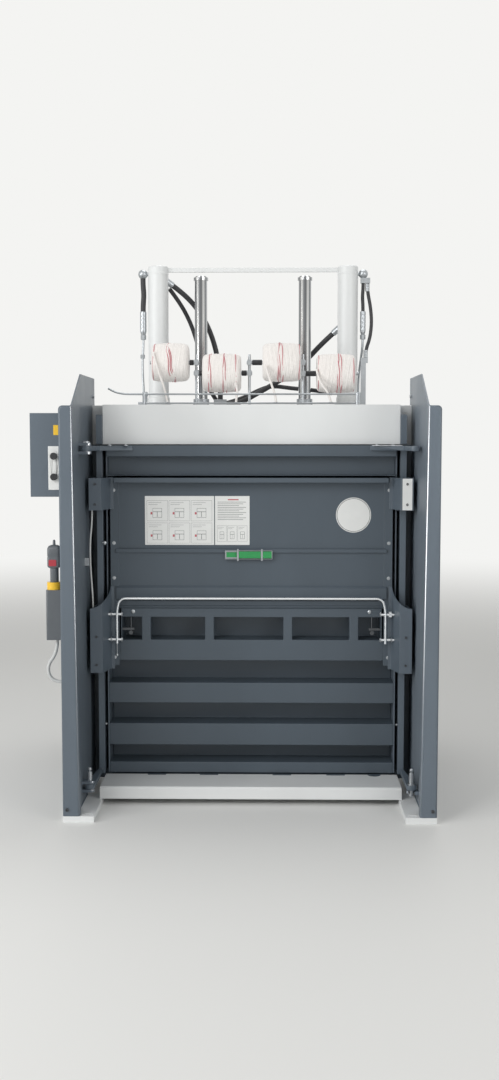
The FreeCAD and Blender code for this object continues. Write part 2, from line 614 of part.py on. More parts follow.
pins = [cross_pin(side, pin_z) for side in (-1, 1) for pin_z in BAIL_PINS]
pins[3] = joined(pins[3], star_knob(589.0, 601.0, BAIL_PINS[1]))
NODES["bail_pins"] = group(pins)

SHEET_PACK = 1.5
A4 = (297.0, 210.0)
A5 = (148.0, 210.0)
sheet_top = 1293.0
sheet_left = -456.0
NODES["instruction_sheets"] = group([
    box(sheet_left, sheet_left + A4[0], FLAP_FACE - SHEET_PACK, FLAP_FACE, sheet_top - A4[1], sheet_top),
    box(-155.0, -155.0 + A5[0], FLAP_FACE - SHEET_PACK, FLAP_FACE, sheet_top - A5[1], sheet_top)])
NODES["round_disc"] = rod((438.0, FLAP_FACE - 1.0, 1212.0), (438.0, FLAP_FACE, 1212.0), 75.0)

LEDGE_FACE = FLAP_FACE - 10.0
HOLDER_X = (-112.0, 91.0)
holder_line = [(LEDGE_FACE - 14.0, 1061.0), (LEDGE_FACE, 1061.0), (LEDGE_FACE, 1023.0),
               (LEDGE_FACE - 14.0, 1023.0)]
NODES["knife_holder"] = prism_x(strip(holder_line, -2.0), *HOLDER_X)
knife_grip = box(-54.0, 88.0, LEDGE_FACE - 15.0, LEDGE_FACE - 2.0, 1027.0, 1057.0)
knife_grip = knife_grip.makeFillet(4.0, [e for e in knife_grip.Edges
                                         if abs(e.BoundBox.YMin - e.BoundBox.YMax) < 1
                                         and e.BoundBox.YMin < LEDGE_FACE - 10
                                         and e.BoundBox.XMax - e.BoundBox.XMin > 20])
knife_blade = box(-106.0, -54.0, LEDGE_FACE - 8.0, LEDGE_FACE - 5.0, 1031.0, 1053.0)
NODES["twine_knife"] = joined(knife_grip, knife_blade)

CABLE_Y = FRONT + 360.0
CABLE_END = LOW_SHOE[1] - COVE_R + 1.9
cable_points = [(-672.0, CABLE_Y, TOP_SHOE[0]), (-672.0, CABLE_Y, 1190.0), (-681.0, CABLE_Y, 1110.0),
                (-682.0, CABLE_Y, 1020.0), (-676.0, CABLE_Y, 920.0), (-672.0, CABLE_Y, 860.0),
                (-672.0, CABLE_Y, CABLE_END)]
NODES["flap_cable"] = routed_tube(cable_points, 3.5, "flap_cable")

# ---- Twine rack ----------------------------------------------------------------------------

RACK_POSTS = (-242.0, -10.0, 224.0)
AXLES = ((-445.0, -230.0, 1870.0), (-254.0, 2.0, 1824.0), (-22.0, 236.0, 1870.0),
         (217.0, 468.0, 1822.0))
rack = [rod((-463.0, RACK_ROD_Y, 1729.0), (455.0, RACK_ROD_Y, 1729.0), 4.0),
        rod((-463.0, RACK_ROD_Y, 1690.0), (455.0, RACK_ROD_Y, 1690.0), 4.0)]
for end_x in (-463.0, 455.0):
    rack.append(rod((end_x, RACK_ROD_Y, HEAD_TOP), (end_x, RACK_ROD_Y, 1737.0), 6.0))
for post_x in RACK_POSTS:
    rack.append(rod((post_x, RACK_Y, HEAD_TOP), (post_x, RACK_Y, 1905.0), 6.0))
    rack.append(rod((post_x, RACK_ROD_Y, 1690.0), (post_x, RACK_Y, 1690.0), 5.0))
for axle_start, axle_end, axle_z in AXLES:
    rack.append(rod((axle_start, RACK_Y, axle_z), (axle_end, RACK_Y, axle_z), AXLE_R))
    for post_x in RACK_POSTS:
        if axle_start < post_x < axle_end:
            rack.append(box(post_x - 9.0, post_x + 9.0, RACK_Y - 14.0, RACK_Y + 14.0,
                            axle_z - 12.0, axle_z + 12.0))
lever_points = [(-617.0, RACK_ROD_Y, 1754.0), (-586.0, RACK_ROD_Y, 1737.0),
                (-548.0, RACK_ROD_Y, 1729.5), (-463.0, RACK_ROD_Y, 1729.0)]
rack.append(routed_tube(lever_points, 4.5, "rack_lever"))
NODES["twine_rack"] = joined(*rack)


def twine_roll(x0, x1, z):
    """A wound roll on its axle: flat ends, rounded shoulders and a slightly crowned middle."""
    mid = (x0 + x1) / 2.0
    bore = AXLE_R + RUNNING
    outline = [(x0, bore), (x0, ROLL_R - 20.0), (x0 + 12.0, ROLL_R - 5.0), (mid, ROLL_R),
               (x1 - 12.0, ROLL_R - 5.0), (x1, ROLL_R - 20.0), (x1, bore)]
    face = face_of([(x, RACK_Y, z + r) for x, r in outline])
    return face.revolve(V(0, RACK_Y, z), V(1, 0, 0), 360)


for number, (roll_start, roll_end, roll_z) in enumerate(ROLLS, 1):
    NODES["twine_roll_%d" % number] = twine_roll(roll_start, roll_end, roll_z)

# ---- Hoses and pipes on the head box -------------------------------------------------------

HOSE_R = 12.0
PORT_Z = 2300.0
DROP_X = 512.0
FERRULE = (2013.0, 2128.0)


UNION_H = 22.0
BALL_JOINT_R = 22.0
BALL_FOOT = PORT_Z - math.sqrt(BALL_JOINT_R ** 2 - HOSE_R ** 2)
TWIN_R = 8.0                # the right side's two thinner hoses
TWIN_TOP = BALL_FOOT - 24.0
TWIN_X = (DROP_X, DROP_X + 20.0)
UNION_RIGHT = (496.0, RAM_Y + 46.0)
BLOCK_X = (-185.0, -125.0)
BLOCK_Y = (RAM_Y + 35.0, RAM_Y + 95.0)
BLOCK_TOP = HEAD_TOP + 40.0


def ball_joint(side):
    """A swivel joint at a cylinder's head, flat where the hose screws on."""
    x = side * DROP_X
    port = rod((side * CYLINDER_X, RAM_Y, PORT_Z), (x, RAM_Y, PORT_Z), 9.0)
    port = port.cut(Part.makeCylinder(BARREL_R, 60, V(side * CYLINDER_X, RAM_Y, PORT_Z - 30)))
    joint = joined(port, Part.makeSphere(BALL_JOINT_R, V(x, RAM_Y, PORT_Z)))
    return joint.cut(box(x - 30, x + 30, RAM_Y - 30, RAM_Y + 30, PORT_Z - 30, BALL_FOOT))


def ferrule(x, y, r):
    """The crimped end of a hose, tapering to its pipe."""
    return revolved([(0, FERRULE[0]), (r - 4.0, FERRULE[0]), (r + 2.0, FERRULE[0] + 20.0),
                     (r + 2.0, FERRULE[1]), (0, FERRULE[1])], x, y)


def union(x, y):
    """The nut where a pipe enters the head box."""
    return revolved([(0, HEAD_TOP), (12.0, HEAD_TOP), (12.0, HEAD_TOP + 16.0),
                     (9.0, HEAD_TOP + UNION_H), (0, HEAD_TOP + UNION_H)], x, y)


def barrel_port(side, start, way):
    """A short stub on a barrel's wall, square to the hose that leaves it."""
    back = [s - 40.0 * w for s, w in zip(start, way)]
    stub = rod(back, start, HOSE_R + 3.0)
    return stub.cut(Part.makeCylinder(BARREL_R, 200, V(side * CYLINDER_X, RAM_Y, start[2] - 100)))


def direction(start, end):
    """The unit step from one point towards another."""
    way = (V(*end) - V(*start)).normalize()
    return way.x, way.y, way.z


supply_points = [(-376.0, RAM_Y + 24.0, 2252.0), (-320.0, RAM_Y + 48.0, 2212.0),
                 (-255.0, RAM_Y + 66.0, 2140.0), (-205.0, RAM_Y + 70.0, 2050.0),
                 (-172.0, RAM_Y + 68.0, 1945.0), (-155.0, RAM_Y + 65.0, 1835.0),
                 (-155.0, RAM_Y + 65.0, BLOCK_TOP)]
return_points = [(376.0, RAM_Y + 24.0, 2030.0), (325.0, RAM_Y + 50.0, 1985.0),
                 (262.0, RAM_Y + 68.0, 1918.0), (195.0, RAM_Y + 74.0, 1856.0),
                 (115.0, RAM_Y + 72.0, 1806.0), (30.0, RAM_Y + 68.0, 1757.0),
                 (-40.0, RAM_Y + 65.0, 1718.0), (-90.0, RAM_Y + 65.0, 1703.0),
                 (BLOCK_X[1], RAM_Y + 65.0, 1703.0)]
twin_block = box(TWIN_X[0] - 12.0, TWIN_X[1] + 12.0, RAM_Y - 12.0, RAM_Y + 12.0, TWIN_TOP, BALL_FOOT)
stay = joined(box(503.0, 527.0, RAM_Y - 10.0, RAM_Y - 4.0, HEAD_TOP, 1915.0),
              box(516.0, 536.0, RAM_Y - 10.0, RAM_Y + 10.0, 1890.0, 1915.0))
port_block = box(BLOCK_X[0], BLOCK_X[1], BLOCK_Y[0], BLOCK_Y[1], HEAD_TOP, BLOCK_TOP)
NODES["hose_fittings"] = group([
    ball_joint(-1), ferrule(-DROP_X, RAM_Y, HOSE_R), union(-DROP_X, RAM_Y),
    joined(ball_joint(1), twin_block), ferrule(DROP_X, RAM_Y, TWIN_R + 2.0), union(*UNION_RIGHT),
    stay, port_block,
    barrel_port(-1, supply_points[0], direction(supply_points[0], supply_points[1])),
    barrel_port(1, return_points[0], direction(return_points[0], return_points[1]))])

NODES["hose_left"] = routed_tube(
    [(-DROP_X, RAM_Y, BALL_FOOT), (-DROP_X, RAM_Y, 2252.0), (-DROP_X + 4.0, RAM_Y, 2205.0),
     (-DROP_X, RAM_Y, 2158.0), (-DROP_X, RAM_Y, FERRULE[1])], HOSE_R, "hose_left")
NODES["pipe_left"] = routed_tube(
    [(-DROP_X, RAM_Y, FERRULE[0]), (-DROP_X, RAM_Y, 1970.0), (-DROP_X - 5.0, RAM_Y, 1900.0),
     (-DROP_X - 4.0, RAM_Y, 1830.0), (-DROP_X, RAM_Y, 1770.0), (-DROP_X, RAM_Y, HEAD_TOP + UNION_H)],
    5.5, "pipe_left")
inner_hose = routed_tube(
    [(TWIN_X[0], RAM_Y, TWIN_TOP), (TWIN_X[0], RAM_Y, 2232.0), (TWIN_X[0] - 3.0, RAM_Y, 2195.0),
     (TWIN_X[0], RAM_Y, 2155.0), (TWIN_X[0], RAM_Y, FERRULE[1])], TWIN_R, "hose_right inner")
outer_hose = routed_tube(
    [(TWIN_X[1], RAM_Y, TWIN_TOP), (TWIN_X[1], RAM_Y, 2222.0), (TWIN_X[1] + 16.0, RAM_Y, 2145.0),
     (TWIN_X[1] + 21.0, RAM_Y, 2075.0), (TWIN_X[1] + 14.0, RAM_Y, 2005.0), (526.0, RAM_Y, 1950.0),
     (526.0, RAM_Y, 1915.0)], TWIN_R, "hose_right outer")
NODES["hose_right"] = group([inner_hose, outer_hose])
NODES["pipe_right"] = routed_tube(
    [(DROP_X, RAM_Y, FERRULE[0]), (DROP_X, RAM_Y, 1975.0), (DROP_X - 6.0, RAM_Y + 12.0, 1915.0),
     (UNION_RIGHT[0] + 2.0, RAM_Y + 36.0, 1850.0), (UNION_RIGHT[0], UNION_RIGHT[1], 1790.0),
     (UNION_RIGHT[0], UNION_RIGHT[1], HEAD_TOP + UNION_H)], 5.5, "pipe_right")
NODES["hose_supply"] = routed_tube(supply_points, HOSE_R, "hose_supply")
NODES["hose_return"] = routed_tube(return_points, HOSE_R, "hose_return")

# ---- Control cabinet, power inlet and hydraulic unit ---------------------------------------



def casing(x, y, z, wall):
    """A closed sheet-metal case between pairs of X, Y and Z limits, hollow inside."""
    inside = box(x[0] + wall, x[1] - wall, y[0] + wall, y[1] - wall, z[0] + wall, z[1] - wall)
    return box(*x, *y, *z).cut(inside)


cabinet = casing(CABINET_X, CABINET_Y, CABINET_Z, 2.0)
BUTTON_X = -784.0
PANEL_T = 3.0
STEM_R = 8.0
panel = box(PANEL_X[0], PANEL_X[1], CABINET_Y[0] - PANEL_T, CABINET_Y[0], PANEL_Z[0], PANEL_Z[1])
for button_name, button_z in BUTTONS:
    well = rod((BUTTON_X, CABINET_Y[0] - 20.0, button_z), (BUTTON_X, CABINET_Y[0] + 30.0, button_z),
               STEM_R + 0.3)
    cabinet = cabinet.cut(well)
    panel = panel.cut(well)
    face_y = CABINET_Y[0] - PANEL_T
    NODES[button_name] = joined(
        rod((BUTTON_X, face_y - 16.0, button_z), (BUTTON_X, face_y - 7.0, button_z), BUTTON_R),
        rod((BUTTON_X, face_y - 7.0, button_z), (BUTTON_X, face_y + 18.0, button_z), STEM_R))
NODES["control_cabinet"] = cabinet
NODES["button_panel"] = panel

INLET_BODY = (727.0, 930.0)
inlet = box(-822.0, -COLUMN_OUT, INLET_Y - 32.0, INLET_Y + 32.0, INLET_BODY[0], INLET_BODY[1])
inlet = inlet.makeFillet(8.0, [e for e in inlet.Edges if e.BoundBox.XMax < -821
                               and e.BoundBox.ZMax - e.BoundBox.ZMin > 100])
NODES["power_inlet"] = inlet
COLLAR_Z = 960.0
NODES["inlet_collar"] = revolved([(0, INLET_BODY[1]), (29.0, INLET_BODY[1]), (29.0, COLLAR_Z),
                                  (0, COLLAR_Z)], INLET_X, INLET_Y)
NODES["inlet_plug"] = joined(
    revolved([(0, COLLAR_Z), (19.0, COLLAR_Z), (22.0, COLLAR_Z + 62.0), (27.0, COLLAR_Z + 66.0),
              (27.0, COLLAR_Z + 118.0), (9.0, COLLAR_Z + 150.0), (0, COLLAR_Z + 150.0)],
             INLET_X, INLET_Y))
NODES["power_lead"] = routed_tube(
    [(-783.0, INLET_Y, INLET_BODY[0]), (-783.0, INLET_Y, 697.0), (-795.0, INLET_Y, 657.0),
     (-822.0, INLET_Y, 622.0), (-820.0, INLET_Y, 576.0), (-790.0, INLET_Y, 550.0),
     (-COLUMN_OUT, INLET_Y, 550.0)], 7.0, "power_lead")

UNIT_Y = CHAMBER_BACK + SHEET + RIB_DEPTH
TANK_Z = (960.0, 1240.0)
NODES["oil_tank"] = casing((120.0, 560.0), (UNIT_Y, UNIT_Y + 160.0), TANK_Z, 6.0)
motor_x = 220.0
motor_y = UNIT_Y + 80.0
motor_parts = [revolved([(0, TANK_Z[1]), (60.0, TANK_Z[1]), (60.0, TANK_Z[1] + 14.0),
                         (52.0, TANK_Z[1] + 20.0), (52.0, TANK_Z[1] + 170.0), (40.0, TANK_Z[1] + 200.0),
                         (0, TANK_Z[1] + 200.0)], motor_x, motor_y)]
for fin_number in range(12):
    angle = math.radians(30.0 * fin_number)
    fin = box(motor_x + 50.0, motor_x + 66.0, motor_y - 2.0, motor_y + 2.0, TANK_Z[1] + 26.0,
              TANK_Z[1] + 160.0)
    fin.rotate(V(motor_x, motor_y, 0), V(0, 0, 1), math.degrees(angle))
    motor_parts.append(fin)
NODES["pump_motor"] = joined(*motor_parts)
NODES["valve_block"] = box(340.0, 500.0, UNIT_Y + 40.0, UNIT_Y + 120.0, TANK_Z[1], TANK_Z[1] + 70.0)

# ---- Export --------------------------------------------------------------------------------

for node_name, shape in NODES.items():
    if not shape.isValid():
        print("not valid:", node_name)
    shape.exportStep("parts/%s.step" % node_name)
print(len(NODES), "nodes")
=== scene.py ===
# %% [markdown]
# A recycling baler is mostly folded sheet steel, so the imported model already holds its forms. This
# scene adds what a sheet-metal maker, a hydraulics fitter and a twine winder would add: soft folded
# edges, powder coat, chrome, hoses, wound twine, screws and printed sheets. The frame comes first,
# because every later piece takes its place from it.

# %% Load the frame
import json
import math

import bmesh
import bpy
import numpy as np
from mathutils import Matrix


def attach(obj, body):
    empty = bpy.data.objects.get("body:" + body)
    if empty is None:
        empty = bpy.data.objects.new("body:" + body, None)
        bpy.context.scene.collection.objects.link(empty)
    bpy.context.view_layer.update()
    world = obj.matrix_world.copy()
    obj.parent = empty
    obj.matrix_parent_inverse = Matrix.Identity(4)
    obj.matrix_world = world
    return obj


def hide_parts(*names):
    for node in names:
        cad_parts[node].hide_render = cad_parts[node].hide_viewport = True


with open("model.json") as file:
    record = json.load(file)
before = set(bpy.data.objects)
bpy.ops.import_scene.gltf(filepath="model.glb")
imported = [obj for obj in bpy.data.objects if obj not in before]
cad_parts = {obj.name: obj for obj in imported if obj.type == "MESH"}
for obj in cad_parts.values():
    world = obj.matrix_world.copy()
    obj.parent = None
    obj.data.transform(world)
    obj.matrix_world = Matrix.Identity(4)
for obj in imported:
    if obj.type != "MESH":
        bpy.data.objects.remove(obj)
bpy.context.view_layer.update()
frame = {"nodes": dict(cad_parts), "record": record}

nodes = frame["nodes"]
MM = 0.001
print("frame", len(nodes), "nodes")

# %% [markdown]
# Every added piece is a grid of points worked out by a formula. One helper turns such a grid into a
# mesh, closes it round one or both ways, and can cap its ends, so the pieces below only say what
# their surface is. The mesh keeps the real place of the piece, and its object stays at the origin.

# %% A grid of points as a mesh


def add_object(name, data):
    """A new object in the scene for a mesh, curve, lamp or camera."""
    made = bpy.data.objects.new(name, data)
    bpy.context.scene.collection.objects.link(made)
    return made


def add_surface(name, grid, material, body, wrap_u=False, wrap_v=False, caps=False, smooth=True):
    """A mesh from a grid of points in mm: point (i, j) joins (i+1, j) and (i, j+1), and may wrap round."""
    rows, cols = grid.shape[:2]
    points = grid.reshape(-1, 3) * MM
    i = np.arange(rows if wrap_u else rows - 1)
    j = np.arange(cols if wrap_v else cols - 1)
    i, j = np.meshgrid(i, j, indexing="ij")
    i2, j2 = (i + 1) % rows, (j + 1) % cols
    quads = np.stack([i * cols + j, i2 * cols + j, i2 * cols + j2, i * cols + j2], -1).reshape(-1, 4)
    faces = quads.tolist()
    if caps:
        faces.append(list(range(cols))[::-1])
        faces.append([(rows - 1) * cols + k for k in range(cols)])
    return add_mesh(name, points, faces, material, body, smooth)


def add_mesh(name, points, faces, material, body, smooth):
    """A mesh object at the origin that rides on a CAD body, with its normals made to point outwards."""
    mesh = bpy.data.meshes.new(name)
    mesh.from_pydata(points.tolist(), [], faces)
    mesh.validate()
    mesh.polygons.foreach_set("use_smooth", [smooth] * len(mesh.polygons))
    mesh.materials.append(material)
    piece = add_object(name, mesh)
    outward(mesh)
    if smooth:
        mesh.set_sharp_from_angle(angle=math.radians(35.0))
    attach(piece, body)
    return piece


def outward(mesh):
    """Turns the faces of a closed mesh outwards."""
    work = bmesh.new()
    work.from_mesh(mesh)
    bmesh.ops.remove_doubles(work, verts=work.verts, dist=1e-6)
    bmesh.ops.recalc_face_normals(work, faces=work.faces)
    work.to_mesh(mesh)
    work.free()


# %% [markdown]
# Three surfaces make nearly all fittings. A turned piece is a profile spun about an axis, as on a
# lathe. A plate is a rounded rectangle carried through its thickness with a small round on both
# edges, as a laser-cut and tumbled blank has. A round wire is a circle carried along a path.

# %% Turned pieces, plates and wires


def ring_about(axis, sides):
    """An axis as a unit direction, and a unit circle about it: cos a * across + sin a * third."""
    along = np.array(axis, float) / np.linalg.norm(axis)
    across = np.cross(along, (0.0, 0.0, 1.0) if abs(along[2]) < 0.9 else (0.0, 1.0, 0.0))
    across /= np.linalg.norm(across)
    third = np.cross(along, across)
    a = np.linspace(0.0, 2.0 * np.pi, sides, endpoint=False)
    return along, np.cos(a)[:, None] * across + np.sin(a)[:, None] * third


def turned(name, profile, centre, axis, material, body, sides, smooth=True):
    """Spins (radius, height) pairs in mm about an axis: a point is centre + height * axis + radius * ring."""
    profile = np.array(profile, float)
    along, ring = ring_about(axis, sides)
    grid = (np.array(centre, float) + profile[:, 1, None, None] * along
            + profile[:, 0, None, None] * ring[None])
    return add_surface(name, grid, material, body, wrap_v=True, smooth=smooth)


def rounded_outline(width, height, radius):
    """A rectangle with round corners about the origin: four quarter circles of five points each."""
    quarter = np.linspace(0.0, np.pi / 2.0, 5)
    corners = []
    for turn, (sx, sy) in enumerate(((1, 1), (-1, 1), (-1, -1), (1, -1))):
        a = quarter + turn * np.pi / 2.0
        corners.append(np.stack([sx * (width / 2.0 - radius) + radius * np.cos(a),
                                 sy * (height / 2.0 - radius) + radius * np.sin(a)], -1))
    return np.concatenate(corners)


AXES = {"x": ((0, 1, 0), (0, 0, 1), (1, 0, 0)), "y": ((1, 0, 0), (0, 0, 1), (0, 1, 0)),
        "z": ((1, 0, 0), (0, 1, 0), (0, 0, 1))}


def plate(name, low, high, facing, radius, material, body, edge=0.6):
    """A plate between two corners: its outline is carried through, and drawn in by the edge at both ends."""
    low, high = np.array(low, float), np.array(high, float)
    u, v, w = (np.array(a, float) for a in AXES[facing])
    middle = (low + high) / 2.0
    size = high - low
    wide, tall, thick = abs(size @ u), abs(size @ v), abs(size @ w)
    half = thick / 2
    edge = min(edge, thick / 2.5, radius * 0.9)
    rings = []
    for inset, depth in ((edge, -half), (0.0, edge - half), (0.0, half - edge), (edge, half)):
        outline = rounded_outline(wide - 2 * inset, tall - 2 * inset, max(radius - inset, 0.05))
        rings.append(middle + outline[:, :1] * u + outline[:, 1:] * v + depth * w)
    ends = [np.broadcast_to(middle + depth * w, rings[0].shape) for depth in (-half, half)]
    grid = np.array([ends[0], *rings, ends[1]])
    add_surface(name, grid, material, body, wrap_v=True, smooth=False)


def wire(name, points, radius, material, body, replaced=()):
    """A round rope, hose or rod: a NURBS line through its control points in mm, with a round bevel."""
    curve = bpy.data.curves.new(name, "CURVE")
    curve.dimensions = "3D"
    curve.bevel_depth = radius * MM
    curve.bevel_resolution = 5
    curve.resolution_u = 10
    curve.render_resolution_u = 10
    curve.use_fill_caps = True
    spline = curve.splines.new("NURBS")
    spline.points.add(len(points) - 1)
    flat = [value for x, y, z in points for value in (x * MM, y * MM, z * MM, 1.0)]
    spline.points.foreach_set("co", flat)
    spline.order_u = 3
    spline.use_endpoint_u = True
    curve.materials.append(material)
    piece = add_object(name, curve)
    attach(piece, body)
    if replaced:
        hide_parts(*replaced)

# %% [markdown]
# Colours are written as sRGB hex values, as a paint chart or a picture editor gives them. The shader
# works in linear light, so one function converts them. One more adds a node with its settings and
# its links, which keeps each material to a few lines that read in the order of the node tree.

# %% Colours and nodes


def linear(code):
    """An sRGB hex colour in linear light: c / 12.92 below 0.04045, else ((c + 0.055) / 1.055) ** 2.4."""
    srgb = np.array([int(code[k:k + 2], 16) for k in (1, 3, 5)]) / 255.0
    light = np.where(srgb <= 0.04045, srgb / 12.92, ((srgb + 0.055) / 1.055) ** 2.4)
    return (*light.tolist(), 1.0)


def node(tree, kind, values, links=(), **properties):
    """Adds a shader node: values for its sockets, properties for itself, (output, socket) pairs to join."""
    made = tree.nodes.new("ShaderNode" + kind)
    for key, value in properties.items():
        setattr(made, key, value)
    for key, value in values.items():
        made.inputs[key].default_value = value
    for output, key in links:
        tree.links.new(output, made.inputs[key])
    return made


def new_material(name, colour, roughness, metallic=0.0):
    """A material with its Principled shader set, and the Object coordinates that its patterns read."""
    material = bpy.data.materials.new(name)
    material.use_nodes = True
    tree = material.node_tree
    shader = tree.nodes["Principled BSDF"]
    shader.inputs["Base Color"].default_value = linear(colour)
    shader.inputs["Roughness"].default_value = roughness
    shader.inputs["Metallic"].default_value = metallic
    place = tree.nodes.new("ShaderNodeTexCoord").outputs["Object"]
    return material, tree, shader, place


def per_metre(size_mm):
    """A noise scale for a pattern whose features are about size_mm apart."""
    return 1000.0 / size_mm


def bump(tree, shader, height, depth_mm, strength):
    """Joins a height pattern to the shader's normal, where the distance is the real depth."""
    made = node(tree, "Bump", {"Strength": strength, "Distance": depth_mm * MM}, [(height, "Height")])
    tree.links.new(made.outputs["Normal"], shader.inputs["Normal"])


def mottle(tree, shader, place, size_mm, dark, light, stretch=(1.0, 1.0, 1.0)):
    """Lets the base colour drift between two hex colours with a soft noise of that size."""
    turned_place = node(tree, "Mapping", {"Scale": stretch}, [(place, "Vector")])
    noise = node(tree, "TexNoise", {"Scale": per_metre(size_mm), "Detail": 4.0, "Roughness": 0.6},
                 [(turned_place.outputs["Vector"], "Vector")])
    mix = node(tree, "Mix", {6: linear(dark), 7: linear(light)}, [(noise.outputs["Fac"], "Factor")],
               data_type="RGBA")
    tree.links.new(mix.outputs[2], shader.inputs["Base Color"])
    return noise.outputs["Fac"]


def rough_range(tree, shader, factor, smooth_value, rough_value):
    """Spreads the roughness between two values by a 0 to 1 pattern."""
    ramp = node(tree, "MapRange", {"From Min": 0.3, "From Max": 0.7, "To Min": smooth_value,
                                   "To Max": rough_value}, [(factor, "Value")])
    tree.links.new(ramp.outputs["Result"], shader.inputs["Roughness"])


# %% [markdown]
# Powder coat is a polyester film baked on steel. It is satin, with a faint orange peel about 2 mm
# across, and it gathers a little dust and handling marks, which the eye reads as slow drifts of
# gloss. Two shades are used: slate grey on the columns and posts, and light grey on the head box,
# cylinders, sill and feet. The panels and walls set back between the columns take a darker copy of
# the slate, which is painted shade for their recess.

# %% Powder coats


def powder_coat(name, dark, light, roughness):
    """Satin powder coat on steel, IOR 1.5, with orange peel and slow gloss drift."""
    material, tree, shader, place = new_material(name, light, roughness)
    drift = mottle(tree, shader, place, 260.0, dark, light, (1.0, 1.0, 0.35))
    rough_range(tree, shader, drift, roughness - 0.05, roughness + 0.09)
    peel = node(tree, "TexNoise", {"Scale": per_metre(2.2), "Detail": 1.0}, [(place, "Vector")])
    bump(tree, shader, peel.outputs["Fac"], 0.05, 0.35)
    return material


slate = powder_coat("slate_powder_coat", "#545E68", "#606B75", 0.36)
# A darker copy of the slate: painted shade for the panels and walls set back between the columns.
slate_painted_shade = powder_coat("slate_powder_coat_painted_shade", "#454F58", "#505B65", 0.42)
pale = powder_coat("light_grey_powder_coat", "#DFE1E1", "#E8EAEA", 0.38)
print("powder coats ready")

# %% [markdown]
# Metals keep their default IOR and take their look from roughness. Zinc plate is mottled by the bath
# and oiled steel fittings are dark, so both read a noise. Hard chrome is nearly a mirror and shows
# only what stands about it: a dark room with bright strips. The backdrop here is one even white, so
# those dark and bright strips are a painted reflection in the chrome's base colour, picked by the x
# of the face's normal.

# %% Metals


def plated(name, dark, light, roughness, grain_mm):
    """Plated or bare metal: metallic 1, a fine grain in colour and gloss."""
    material, tree, shader, place = new_material(name, light, roughness, 1.0)
    grain = mottle(tree, shader, place, grain_mm, dark, light)
    rough_range(tree, shader, grain, roughness * 0.85, roughness * 1.25)
    return material


def painted_reflection_metal(name, strips, roughness):
    """Polished metal with a painted reflection: the x of the normal, from -1 to 1, picks its tone along (x,
    hex) strips.
    """
    material, tree, shader, place = new_material(name, strips[0][1], roughness, 1.0)
    normal = node(tree, "SeparateXYZ", {}, [(place.node.outputs["Normal"], "Vector")])
    spread = node(tree, "MapRange", {"From Min": -1.0, "From Max": 1.0}, [(normal.outputs["X"], "Value")])
    ramp = node(tree, "ValToRGB", {}, [(spread.outputs["Result"], "Fac")])
    points = ramp.color_ramp.elements
    while len(points) < len(strips):
        points.new(0.5)
    for point, (x, tone) in zip(points, strips):
        point.position = (x + 1.0) / 2.0
        point.color = linear(tone)
    tree.links.new(ramp.outputs["Color"], shader.inputs["Base Color"])
    return material


# Dark and bright bands of painted reflection, picked by the x of the normal.
chrome = painted_reflection_metal("hard_chrome_painted_reflection", (
    (-1.0, "#B9BBBD"), (-0.8, "#7E8083"), (-0.5, "#F2F2F1"), (-0.22, "#96989B"),
    (0.12, "#7A7C7F"), (0.42, "#EBEBEA"), (0.7, "#8A8C8F"), (1.0, "#C2C4C6")), 0.12)
bright_zinc = plated("bright_zinc_plate", "#E4E7EA", "#F0F2F4", 0.3, 30.0)
zinc = plated("zinc_plate", "#A2A6AA", "#B6BABD", 0.34, 18.0)
dark_steel = plated("oiled_steel", "#4A4C4F", "#6A6D70", 0.42, 9.0)

# %% [markdown]
# Plastics and rubber differ by how they are moulded. A hose cover is matt rubber with the wrap mark
# of its curing tape. Moulded housings carry a spark-eroded grain of about half a millimetre. The
# knife grip is a glossy dyed plastic that lets a little light in.

# %% Rubber and plastics


def moulded(name, dark, light, roughness, grain_mm, depth_mm, strength):
    """Moulded plastic or rubber with a grain of that size and depth."""
    material, tree, shader, place = new_material(name, light, roughness)
    mottle(tree, shader, place, 60.0, dark, light)
    grain = node(tree, "TexNoise", {"Scale": per_metre(grain_mm), "Detail": 2.0}, [(place, "Vector")])
    bump(tree, shader, grain.outputs["Fac"], depth_mm, strength)
    return material


hose_rubber = moulded("wrapped_hose_rubber", "#262628", "#343437", 0.52, 2.0, 0.15, 0.5)
black_plastic = moulded("black_polyamide", "#202124", "#2B2C2F", 0.45, 0.8, 0.05, 0.5)
grey_plastic = moulded("grey_polyamide", "#565B60", "#63686D", 0.4, 0.8, 0.05, 0.4)
white_plastic = moulded("white_abs", "#E2E3E1", "#ECEDEB", 0.33, 0.8, 0.02, 0.3)
yellow_plastic = moulded("yellow_abs", "#E8B92C", "#F4C73A", 0.36, 0.8, 0.03, 0.3)
red_plastic = moulded("red_abs", "#A5303C", "#BC3F4B", 0.36, 0.8, 0.03, 0.3)
green_plastic = moulded("green_acrylic", "#1F8A48", "#35A35C", 0.16, 6.0, 0.02, 0.2)
green_inputs = green_plastic.node_tree.nodes["Principled BSDF"].inputs
green_inputs["Subsurface Weight"].default_value = 0.12
green_inputs["Subsurface Radius"].default_value = (0.004, 0.01, 0.005)
grey_lead = moulded("grey_pvc_lead", "#BFC1C0", "#D0D2D1", 0.4, 1.5, 0.03, 0.3)
paper = moulded("laminated_paper", "#E6E7E5", "#F0F1EF", 0.3, 1.0, 0.01, 0.2)
ink = moulded("printed_ink", "#3A3D40", "#4A4D50", 0.4, 1.0, 0.01, 0.1)
ink_red = moulded("printed_ink_red", "#B4545C", "#C4656C", 0.4, 1.0, 0.01, 0.1)
print("materials", len(bpy.data.materials))

# %% [markdown]
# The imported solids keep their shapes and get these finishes. A folded sheet never has a knife edge,
# so the steel nodes also get a weld of their loose triangles and a small bevel, which catches the
# light along every fold as the photographed machine does. The columns are pressed round a 15 mm
# tool along the whole inner front fold, and that wide bend carries the bright line of the picture.

